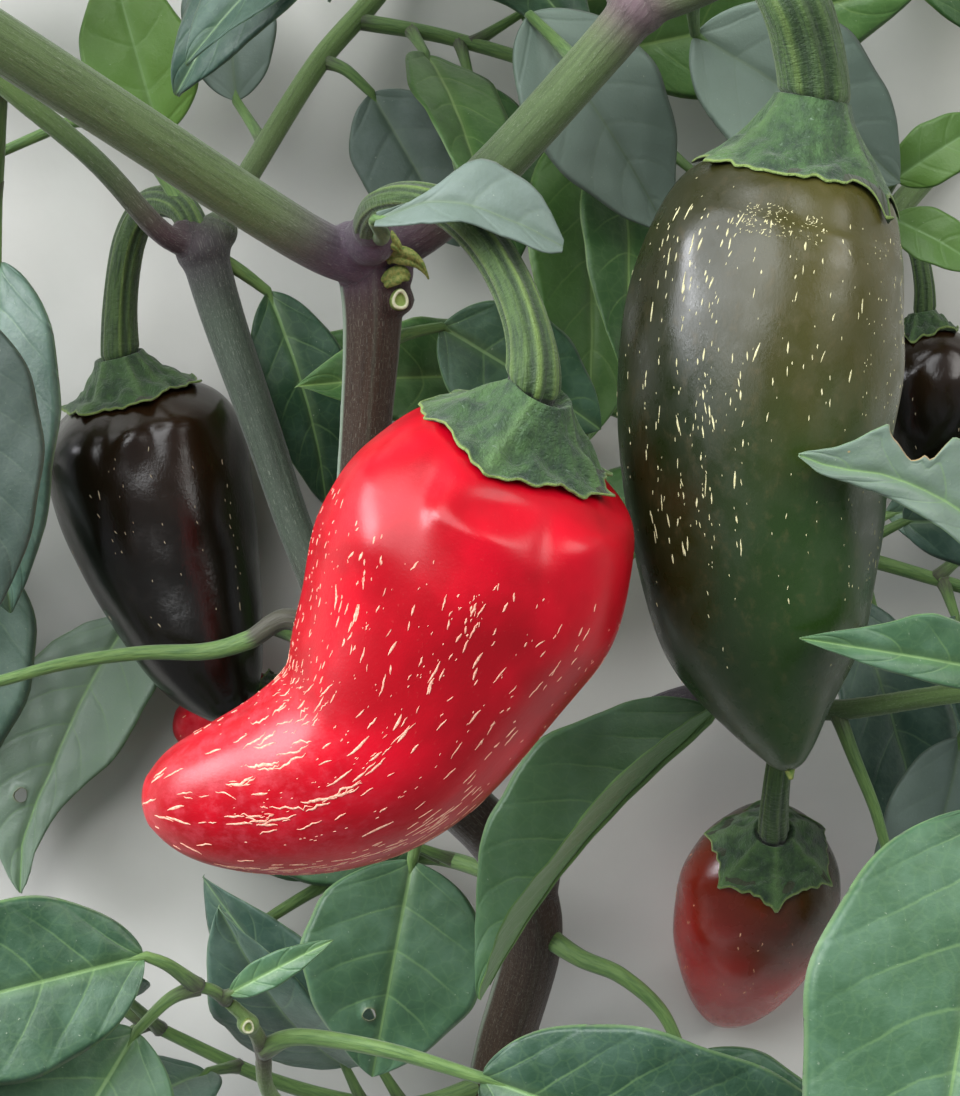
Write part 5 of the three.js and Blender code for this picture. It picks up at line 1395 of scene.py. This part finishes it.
def blade_skin(leaf, rows, columns, dice):
    """Both faces of a blade, what its finish reads at each corner, and how far its midrib is lifted."""
    rows = leaf.get("rows", rows)
    foot, chord, upward = blade_frame(leaf)[:3]
    length = np.linalg.norm(chord)
    bend = np.linspace(-1, 1, columns)
    share = 0.5 - 0.5 * np.cos(np.linspace(0.04, 0.985, rows) * math.pi)
    share, over = np.meshgrid(share, np.sign(bend) * np.abs(bend) ** 1.3, indexing="ij")
    outline = leaf_outline(share)
    if "edges" in leaf:
        left, right = (np.interp(share, *np.transpose(edge)) for edge in leaf["edges"])
        outline = np.where(over < 0, left, right) / (leaf["width"] / 2)
    outline = outline * (1 + 0.02 * np.sin(23 * share + dice.uniform(0, 6)) * np.sign(over))
    worn = np.zeros_like(share)
    for side, middle, half, depth in leaf.get("bites", []):
        notch = np.exp(-(np.abs(share - middle) / half) ** 4) * (np.sign(over) == side)
        outline = outline * (1 - depth * notch)
        worn = np.maximum(worn, notch * np.abs(over) ** 14)
    half_width = leaf["width"] / 2 * outline
    across = over * half_width
    inside, rims = cut_holes(leaf, length, share, across, worn)
    for centre, middle in leaf.get("specks", []):
        worn.flat[np.hypot(across - centre, (share - middle) * length).argmin()] = 1
    over = across / np.maximum(half_width, 0.001)
    spots = blade_spots(leaf, share, over, outline)
    veins = float(np.clip(round(length / VEIN_GAP), *VEIN_COUNTS))
    wave = dice.uniform(0, 6.3, 5)
    lift = blade_relief(length, veins, share, over, across, wave)
    upper = spots + (lift + BLADE_THICKNESS / 2)[..., None] * upward
    lower = spots + (lift - BLADE_THICKNESS / 2)[..., None] * upward
    upper[:, [0, -1]] = 0.5 * (upper[:, [0, -1]] + lower[:, [0, -1]])
    grid = np.concatenate([upper, lower[:, -2:0:-1]], axis=1)
    wrap = np.concatenate([np.arange(columns), np.arange(columns - 2, 0, -1)])
    tone = leaf.get("tone", dice.uniform())
    both = (rows, len(wrap))
    places = np.stack([over[:, wrap], share[:, wrap], np.full(both, tone)], -1)
    web = np.stack([across[:, wrap], np.full(both, length), np.full(both, veins)], -1)
    under = np.zeros(both)
    under[:, columns:] = 1
    young = np.where(over < 0, *leaf.get("young", (0.0, 0.0)))
    state = np.stack([under, worn[:, wrap], young[:, wrap]], -1)
    tip = foot + chord + (length * 0.012 * math.sin(5 + wave[2])) * upward
    points = capped(grid, None, tip)
    faces = ring_faces(rows, len(wrap))
    gone = capped(inside[:, wrap, None], np.array([False]), np.array([False]))[:, 0]
    faces = [face for face in faces if not gone[list(face)].any()]
    for rim in rims:
        ups = [1 + row * len(wrap) + column for row, column in rim]
        downs = [1 + row * len(wrap) + 2 * columns - 2 - column for row, column in rim]
        faces += [(ups[spot], ups[spot - 1], downs[spot - 1], downs[spot]) for spot in range(len(rim))]
    layers = {name: capped(values, values[0, 0], values[-1, 0])
              for name, values in (("leaf", places), ("web", web), ("state", state))}
    return points, faces, layers, lambda at: np.interp(at, share[:, columns // 2], lift[:, columns // 2])


def stalk_skin_of(leaf, midrib_lift, sides=LEAF_STALK_SIDES):
    """The stalk of a leaf, grooved on top, which runs on under the blade as its midrib."""
    places = leaf_stalk(leaf.get("shown_stalk", leaf["stalk"]))

    def swell(share, angle):
        return 1 - 0.16 * np.exp(-(np.angle(np.exp(1j * angle)) / 0.5) ** 2) + 0.25 * (1 - share) ** 6

    rings, grain = tube_rings(places, even_shares(places, LEAF_STALK_STEP), sides, swell)
    chord, upward, beside = blade_frame(leaf)[1:]
    share = np.linspace(0.0, 0.95, 30)[1:]
    radii = places[-1][3] * (1 - share) ** 0.8 * (0.55 + 0.4 * np.exp(-share / 0.06)) + 0.06
    drop = (radii * 0.9 + 0.12) * np.clip(share / 0.1, 0, 1) - midrib_lift(share)
    spine = blade_spots(leaf, share, np.zeros_like(share)) - upward * drop[:, None]
    angles = np.arange(sides) / sides * 2 * math.pi
    rib = (spine[:, None] + np.cos(angles)[None, :, None] * radii[:, None, None] * upward
           + np.sin(angles)[None, :, None] * radii[:, None, None] * beside)
    run = grain[-1, 0, 2] + share * np.linalg.norm(chord)
    rib_grain = np.stack([np.cos(angles)[None] * radii[:, None], np.sin(angles)[None] * radii[:, None],
                          np.repeat(run[:, None], sides, axis=1)], -1)
    upward_start = square_to(headings_on(places, np.array([1.0]))[0], upward)
    rings = np.concatenate([align_rings(rings, upward_start), rib])
    grain = np.concatenate([grain, rib_grain])
    tone = np.interp(grain[:, 0, 2], *leaf.get("flush", ([0, 5, 12], [1, 0.6, 0])))
    tone = np.repeat(tone[:, None], sides, axis=1)
    return (capped(rings), ring_faces(len(rings), sides), capped(grain),
            np.concatenate([[1], tone.ravel(), [0]]))


def align_rings(rings, wish):
    """Turns each ring's first corner towards the wished direction, so that two tubes join without a twist."""
    middle = rings[-1].mean(0)
    turn = int(((rings[-1] - middle) @ wish).argmax())
    return np.roll(rings, -turn, axis=1)


def leaf_finish(name, deep, bright, rib, bloom, under, gloss=0.42, vein=0.3):
    """Soft green blade: pale midrib and side veins, a faint net between them, a bluish bloom that is partly
    painted sheen, paler below, with sheen and shade painted by tone.
    """
    finish = finish_named(name, sheen_weight=0.1, sheen_roughness=0.4, specular_ior_level=0.45)
    leaf = layer_of(finish, "leaf")
    web = layer_of(finish, "web")
    state = layer_of(finish, "state")
    over = worked(finish, "ABSOLUTE", parts_of(finish, leaf, 0))
    share = parts_of(finish, leaf, 1)
    tone = parts_of(finish, leaf, 2)
    across = parts_of(finish, web, 0)
    length = parts_of(finish, web, 1)
    spot = step(finish, "CombineXYZ", {0: across, 1: product(finish, share, length),
                                       2: product(finish, tone, 50.0)})
    clouds = cloud(finish, spot, (1.0, 1.0, 1.0), 0.14, 4.0, 0.6)
    fine = cloud(finish, spot, (1.0, 1.0, 1.0), 1.7, 3.0, 0.65)
    wander = product(finish, worked(finish, "SUBTRACT", clouds, 0.5), 0.03)
    forward = product(finish, worked(finish, "POWER", over, 1.3), 0.2)
    lane = total(finish, worked(finish, "SUBTRACT", share, forward), wander)
    lane = worked(finish, "FRACT", product(finish, lane, parts_of(finish, web, 2)))
    near = worked(finish, "MINIMUM", lane, worked(finish, "SUBTRACT", 1.0, lane))
    side_vein = product(finish, fade(finish, near, 0.045, 0.006), fade(finish, over, 0.95, 0.35))
    taper = product(finish, worked(finish, "ABSOLUTE", across), total(finish, 0.8, share))
    net = step(finish, "TexVoronoi", {"Vector": spot, "Scale": 0.5, "Randomness": 1.0},
               feature="DISTANCE_TO_EDGE")
    shade = total(finish, product(finish, clouds, 0.7), product(finish, tone, 0.5))
    # From below: bright clouds, bloom partly painted as sheen, the pale painted sheen of leaves toned above
    # 1, young leaves and painted light on a shaded half, the painted shade of leaves toned below 0, net,
    # underside, side veins, the halo of the midrib and the midrib, margin, pale specks and dry rims
    colour = coated(finish, deep, [
        (fade(finish, shade, 0.3, 0.9), bright),
        # bluish bloom in clouds, partly a painted sheen of the sky
        (fade(finish, clouds, 0.4, 0.75, 0.3), bloom),
        # painted sheen: leaves toned above 1 turn pale grey-green, as the sky shining on them
        (fade(finish, tone, 1.0, 2.0), paint(112, 130, 116)),
        # yellow-green of young leaves, and painted light on the shaded half of the folded leaf
        (parts_of(finish, state, 2), paint(104, 142, 56)),
        # painted shade: leaves toned below 0 darken
        (fade(finish, tone, 0.0, -1.0), paint(36, 54, 46)),
        (fade(finish, net, 0.1, 0.0, 0.07), rib),
        (product(finish, parts_of(finish, state, 0), 0.7), under),
        (product(finish, side_vein, vein), rib),
        (fade(finish, taper, 1.8, 0.2, 0.2), rib),
        (fade(finish, taper, 0.34, 0.12, 0.7), rib),
        (fade(finish, over, 0.955, 0.99, 0.5), rib),
        (fade(finish, fine, 0.68, 0.76, 0.3), paint(206, 214, 190)),
        (fade(finish, parts_of(finish, state, 1), 0.35, 0.8), paint(176, 150, 104)),
    ])
    rough = step(finish, "MapRange", {0: fine, 3: gloss - 0.06, 4: gloss + 0.16})
    sunk = fade(finish, near, 0.14, 0.0, 0.25)
    height = worked(finish, "SUBTRACT", product(finish, fine, 0.3), sunk)
    dress(finish, colour, rough, height, 0.0002)
    return finish


def leaf_stalk_finish():
    """Leaf stalks: pale juicy green, flushed with purple at the foot."""
    finish = finish_named("leaf_stalk_skin", sheen_weight=0.15, sheen_roughness=0.5, specular_ior_level=0.4)
    grain = layer_of(finish, "grain")
    tone = layer_of(finish, "tone", 2)
    streaks = cloud(finish, grain, (1.0, 1.0, 0.12), 2.6, 4.0, 0.6)
    fine = cloud(finish, grain, (1.0, 1.0, 1.0), 4.0, 3.0, 0.6)
    colour = mixed(finish, fade(finish, streaks, 0.35, 0.7), paint(100, 130, 68), paint(74, 106, 54))
    flush = product(finish, fade(finish, total(finish, tone, product(finish, streaks, 0.4)), 0.8, 1.3), 0.8)
    colour = mixed(finish, flush, colour, paint(64, 46, 52))
    dress(finish, colour, step(finish, "MapRange", {0: fine, 3: 0.4, 4: 0.62}), streaks, 0.0002)
    return finish


def leaf_pieces(name, leaves, finish, slot, nodes, rows, columns, seed):
    """One mesh of many blades. It gives back each leaf with the lift of its midrib, for its stalk."""
    dice = np.random.default_rng(seed)
    skins = [blade_skin(leaf, rows, columns, dice) for leaf in leaves]
    points, faces = joined([(skin[0], skin[1]) for skin in skins])
    layers = {key: np.concatenate([skin[2][key] for skin in skins]) for key in ("leaf", "web", "state")}
    skin_piece(name, points, faces, finish, slot, nodes, **layers)
    return [(leaf, skin[3]) for leaf, skin in zip(leaves, skins)]


def stalk_pieces(name, leaves, stems, finish, nodes):
    parts = [stalk_skin_of(leaf, lift) for leaf, lift in leaves]
    for stem in stems:
        rings, grain = tube_rings(stem, even_shares(stem, LIMB_STEP), TWIG_SIDES)
        flush = np.interp(capped(grain)[:, 2], [0, 5, 14], [1, 0.6, 0])
        parts.append((capped(rings), ring_faces(len(rings), TWIG_SIDES), capped(grain), flush))
    points, faces = joined([(part[0], part[1]) for part in parts])
    skin_piece(name, points, faces, finish, "leaf_green", nodes,
               grain=np.vstack([part[2] for part in parts]), tone=np.concatenate([part[3] for part in parts]))


PALE_LEAVES = ("fork_leaf", "leaf_behind_right_bough", "leaf_behind_green_stalk", "dark_leaf_top_left",
               "pale_leaf_top", "leaf_at_left_edge", "leaf_low_right_back")
green_leaf = leaf_finish("green_leaf", paint(38, 70, 46), paint(70, 106, 72), paint(122, 156, 96),
                         paint(98, 126, 112), paint(104, 134, 96))
pale_leaf = leaf_finish("pale_leaf", paint(80, 98, 86), paint(104, 120, 110), paint(98, 116, 92),
                        paint(116, 130, 126), paint(110, 130, 110), 0.5, 0.2)
leaf_stem_skin = leaf_stalk_finish()
green_names = [name for name in FOLIAGE if name not in PALE_LEAVES]
leaves = []
for piece_name, names, finish, slot, seed in (
        ("green_leaf_blades", green_names, green_leaf, "leaf_green", 3),
        ("pale_leaf_blades", PALE_LEAVES, pale_leaf, "leaf_pale", 4)):
    blades = [leaf for name in names for leaf in FOLIAGE[name]]
    leaves += leaf_pieces(piece_name, blades, finish, slot, names, BLADE_ROWS, BLADE_COLUMNS, seed)
stalk_pieces("leaf_stalks", leaves, TWIGS.values(), leaf_stem_skin, list(FOLIAGE))

# The sprays of leaves that fill the rest of the branch. Each twig bears a leaf at its tip and others in a
# spiral, and a leaf that would touch a limb, a fruit or another leaf hasn't grown.

SPRAYS = {
    "spray_left_bough": {
        "seed": 11, "leaves": 8, "length": 38,
        "stem": [(-63.5, 63.7, 97.3, 2.8), (-73, 71, 99, 2), (-84, 80, 98, 1.1)],
    },
    "spray_twig_left": {
        "seed": 5, "leaves": 8, "length": 38,
        "stem": [(-74.3, 72, 48.1, 1.4), (-82, 80, 46, 1.2), (-86, 92, 40, 0.9)],
    },
    "spray_left_side": {
        "seed": 41, "leaves": 8, "length": 44,
        "stem": [(-65.6, 63.9, 43, 1.2), (-70, 46, 26, 1.1), (-76, 26, 14, 1), (-80, 4, 10, 0.8)],
    },
    "spray_twig_right": {
        "seed": 7, "leaves": 8, "length": 42,
        "stem": [(-11.5, 91, 5.5, 1.4), (-6, 99, 16, 1.2), (-4, 108, 24, 0.9)],
    },
    "spray_top_middle": {
        "seed": 43, "leaves": 8, "length": 42,
        "stem": [(-19, 79, 9.8, 1.3), (-4, 76, 11, 1.1), (12, 70, 14, 1), (26, 60, 16, 0.8)],
    },
    "spray_bough_up": {
        "seed": 3, "leaves": 9, "length": 40,
        "stem": [(11.5, 91.3, 54.9, 2), (3, 98, 51, 1.5), (-10, 102, 47, 0.9)],
    },
    "spray_beyond_green_fruit": {
        "seed": 9, "leaves": 9, "length": 40,
        "stem": [(55.9, 85, 64.9, 2.1), (66, 91, 62, 1.6), (76, 96, 57, 0.9)],
    },
    "spray_back_bough": {
        "seed": 21, "leaves": 8, "length": 42,
        "stem": [(74, 62.6, 4.4, 1.5), (80, 74, 12, 1.3), (80, 88, 18, 0.9)],
    },
    "spray_low_left": {
        "seed": 13, "leaves": 7, "length": 42,
        "stem": [(2.6, -80, 8, 1.6), (-12, -84, 8, 1.3), (-30, -80, 10, 1.1), (-50, -70, 14, 0.9)],
    },
    "spray_low_middle": {
        "seed": 53, "leaves": 6, "length": 32,
        "stem": [(4.6, -48, 22, 1.3), (-8, -46, 12, 1.2), (-22, -50, 9, 1), (-36, -58, 12, 0.8)],
    },
    "spray_back_middle": {
        "seed": 29, "leaves": 6, "length": 36,
        "stem": [(44.5, 12, 16, 1.3), (32, 16, 11, 1.1), (16, 22, 10, 1), (2, 24, 10, 0.8)],
    },
    "spray_right_side": {
        "seed": 31, "leaves": 8, "length": 42,
        "stem": [(43, 2, 21, 1.3), (58, -2, 18, 1.1), (78, -8, 20, 0.9)],
    },
}
# Radians from leaf to leaf round the twig, tries for each leaf, and how the blades hang
LEAF_TURN = 2.4
TRIES = 12
LEAF_SAG = np.array([0, -0.3, -0.12])
# The least of each measure and how much chance adds: radians between leaf and twig, seat along the twig,
# stalk and blade as shares of the spray's leaf length, width as a share of the blade, and degrees of fold
LEAF_LEAN = (0.76, 0.38)
SEAT = (0.15, 0.85)
STALK_SHARE = (0.16, 0.1)
BLADE_SHARE = (0.75, 0.45)
WIDTH_SHARE = (0.42, 0.1)
FOLD = (6, 10)
# Lean of the leaf at the tip of the twig, and rise as a share of the blade
LEAD_LEAN = 0.2
ARCH_SHARE = 0.07
# Places that are checked on each span of a limb and along each blade, millimetres round a blade that are its
# own, millimetres that stay free, and the corners of the room in which leaves grow
SPAN_CHECKS = 6
BLADE_CHECKS = 14
BLADE_ROOM = 1.2
LEAF_CLEAR = 1.5
REACH_LOW = np.array([-112, -100, 0.9])
REACH_HIGH = np.array([106, 128, 112])

taken_spots = []
taken_radii = []


def take_route(places):
    steps = (len(places) - 1) * SPAN_CHECKS
    spots = spots_on(places, np.arange(steps + 1) / steps)
    taken_spots.extend(spots[:, :3])
    taken_radii.extend(spots[:, 3])


def check_spots(leaf):
    share, over = np.meshgrid(np.arange(BLADE_CHECKS + 1) / BLADE_CHECKS, [-1, -0.5, 0, 0.5, 1],
                              indexing="ij")
    return blade_spots(leaf, share.ravel(), over.ravel())


def take_blade(leaf):
    spots = check_spots(leaf)
    taken_spots.extend(spots)
    taken_radii.extend([BLADE_ROOM] * len(spots))


def is_clear(leaf):
    spots = check_spots(leaf)
    if (spots <= REACH_LOW).any() or (spots >= REACH_HIGH).any():
        return False
    away = np.linalg.norm(spots[:, None] - np.array(taken_spots)[None], axis=2)
    return bool((away > np.array(taken_radii)[None] + LEAF_CLEAR).all())


def draws_from(seed):
    """Draws from 0 to 1 that a seed repeats."""
    state = seed * 7919 + 17

    def draw():
        nonlocal state
        state = state * 16807 % 2147483647
        return state / 2147483647
    return draw


def grow_spray(spray):
    draw = draws_from(spray["seed"])
    length = spray["length"]
    grown = []
    for attempt in range(spray["leaves"] * TRIES):
        if len(grown) == spray["leaves"]:
            break
        share = 1 if attempt == 0 else SEAT[0] + SEAT[1] * draw()
        heading = headings_on(spray["stem"], share)[0]
        across = square_to(heading, (0, 0, 1))
        beside = np.cross(heading, across)
        turn = attempt * LEAF_TURN + draw()
        lean = LEAD_LEAN if attempt == 0 else LEAF_LEAN[0] + LEAF_LEAN[1] * draw()
        way = (heading * math.cos(lean) + across * math.cos(turn) * math.sin(lean)
               + beside * math.sin(turn) * math.sin(lean))
        root = spots_on(np.array(spray["stem"], float)[:, :3], share)[0]
        base = root + way * length * (STALK_SHARE[0] + STALK_SHARE[1] * draw())
        reach = length * (BLADE_SHARE[0] + BLADE_SHARE[1] * draw())
        tip = base + unit(way + LEAF_SAG) * reach
        leaf = {
            "stalk": [tuple(root), tuple(base)], "tip": tuple(tip),
            "width": reach * (WIDTH_SHARE[0] + WIDTH_SHARE[1] * draw()),
            "face": (heading[0] * 0.5, heading[1] * 0.5, heading[2] * 0.5 + 0.9),
            "arch": reach * ARCH_SHARE, "fold": FOLD[0] + FOLD[1] * draw(),
        }
        if is_clear(leaf):
            grown.append(leaf)
            take_blade(leaf)
    return grown


for places in LIMBS.values():
    take_route(places)
for fruit in (RED_FRUIT, GREEN_FRUIT, DARK_FRUIT, TURNING_FRUIT, SMALL_RED_FRUIT, EDGE_FRUIT):
    take_route(fruit["axis"])
    take_route(fruit["stalk"])
for name, mass in FOLIAGE.items():
    if name in TWIGS:
        take_route(TWIGS[name])
    for leaf in mass:
        take_route(leaf_stalk(leaf["stalk"]))
        take_blade(leaf)
for spray in SPRAYS.values():
    take_route(spray["stem"])
spray_leaves = {name: grow_spray(spray) for name, spray in SPRAYS.items()}
# The pale leaf under the dark fruit lies bare in the photograph: the grown leaf over it is bent to the left.
spray_leaves["spray_left_side"][7]["tip"] = (-84, -43, 23)

# How finely the grown blades are cut, and the seed of the first third of them
SPRAY_ROWS = 36
SPRAY_COLUMNS = 19
SPRAY_SEED = 40
SPRAY_FINISHES = [
    leaf_finish("spray_leaf_deep", paint(32, 62, 40), paint(62, 96, 60), paint(114, 146, 90),
                paint(92, 120, 104), paint(98, 128, 90)),
    leaf_finish("spray_leaf_bright", paint(52, 90, 42), paint(88, 126, 62), paint(136, 166, 96),
                paint(112, 140, 104), paint(118, 148, 92)),
    leaf_finish("spray_leaf_blue", paint(54, 82, 68), paint(86, 114, 96), paint(124, 152, 110),
                paint(120, 142, 132), paint(108, 134, 106)),
]
leaves = []
for number, finish in enumerate(SPRAY_FINISHES):
    names = list(SPRAYS)[number::len(SPRAY_FINISHES)]
    blades = [leaf for name in names for leaf in spray_leaves[name]]
    leaves += leaf_pieces(f"spray_blades_{number + 1}", blades, finish, "leaf_green", names,
                          SPRAY_ROWS, SPRAY_COLUMNS, SPRAY_SEED + number)
twigs = [spray["stem"] for spray in SPRAYS.values()]
stalk_pieces("spray_stalks", leaves, twigs, leaf_stem_skin, list(SPRAYS))

# The floor, the light and the camera. A pale matt floor, a large soft light from the upper left as the
# garden's sky, a low one at the left that draws the shine on the fruits, a weaker one from the right,
# and the camera straight above, as the photograph looks.

FLOOR_SIZE = 3.0
CAMERA_HEIGHT = 0.390
CAMERA_LENS = 83.4


def floor_finish():
    finish = finish_named("pale_floor", specular_ior_level=0.2)
    place = step(finish, "TexCoord", out=3)
    fine = cloud(finish, place, (1.0, 1.0, 1.0), 60.0, 4.0, 0.6)
    colour = mixed(finish, fine, paint(196, 195, 188), paint(208, 207, 201))
    dress(finish, colour, step(finish, "MapRange", {0: fine, 3: 0.75, 4: 0.9}), fine, 0.0002)
    return finish


half = FLOOR_SIZE / 2
floor_mesh = bpy.data.meshes.new("floor")
corners = [(-half, -half, 0), (half, -half, 0), (half, half, 0), (-half, half, 0)]
floor_mesh.from_pydata(corners, [], [(0, 1, 2, 3)])
floor_mesh.materials.append(floor_finish())
floor = bpy.data.objects.new("floor", floor_mesh)
bpy.context.scene.collection.objects.link(floor)


def soft_light(name, place, aim, size, watts, colour):
    lamp = bpy.data.lights.new(name, "AREA")
    lamp.shape = "DISK"
    lamp.size = size
    lamp.energy = watts
    lamp.color = colour
    held = bpy.data.objects.new(name, lamp)
    held.location = place
    held.rotation_euler = (Vector(aim) - Vector(place)).to_track_quat("-Z", "Y").to_euler()
    bpy.context.scene.collection.objects.link(held)


soft_light("sky_light", (-0.35, 0.5, 0.72), (0, 0, 0.03), 1.0, 12.5, (0.96, 0.98, 1.0))
soft_light("window_light", (-0.76, 0.33, 0.38), (0, 0, 0.05), 0.4, 8.0, (0.93, 0.94, 1.0))
soft_light("side_light", (0.7, 0.4, 0.6), (0, 0, 0.03), 0.6, 4.6, (1.0, 0.98, 0.95))
world = bpy.data.worlds.new("garden_air")
world.use_nodes = True
world.node_tree.nodes["Background"].inputs["Color"].default_value = (0.86, 0.93, 1.0, 1)
world.node_tree.nodes["Background"].inputs["Strength"].default_value = 0.3
bpy.context.scene.world = world

camera_lens = bpy.data.cameras.new("camera")
camera_lens.lens = CAMERA_LENS
camera_lens.sensor_width = 36
camera_lens.clip_start = 0.01
camera = bpy.data.objects.new("camera", camera_lens)
camera.location = (-PLAN_MIDDLE[0] / 1000, -PLAN_MIDDLE[1] / 1000, CAMERA_HEIGHT)
bpy.context.scene.collection.objects.link(camera)
bpy.context.scene.camera = camera
bpy.context.scene.view_settings.view_transform = "Standard"
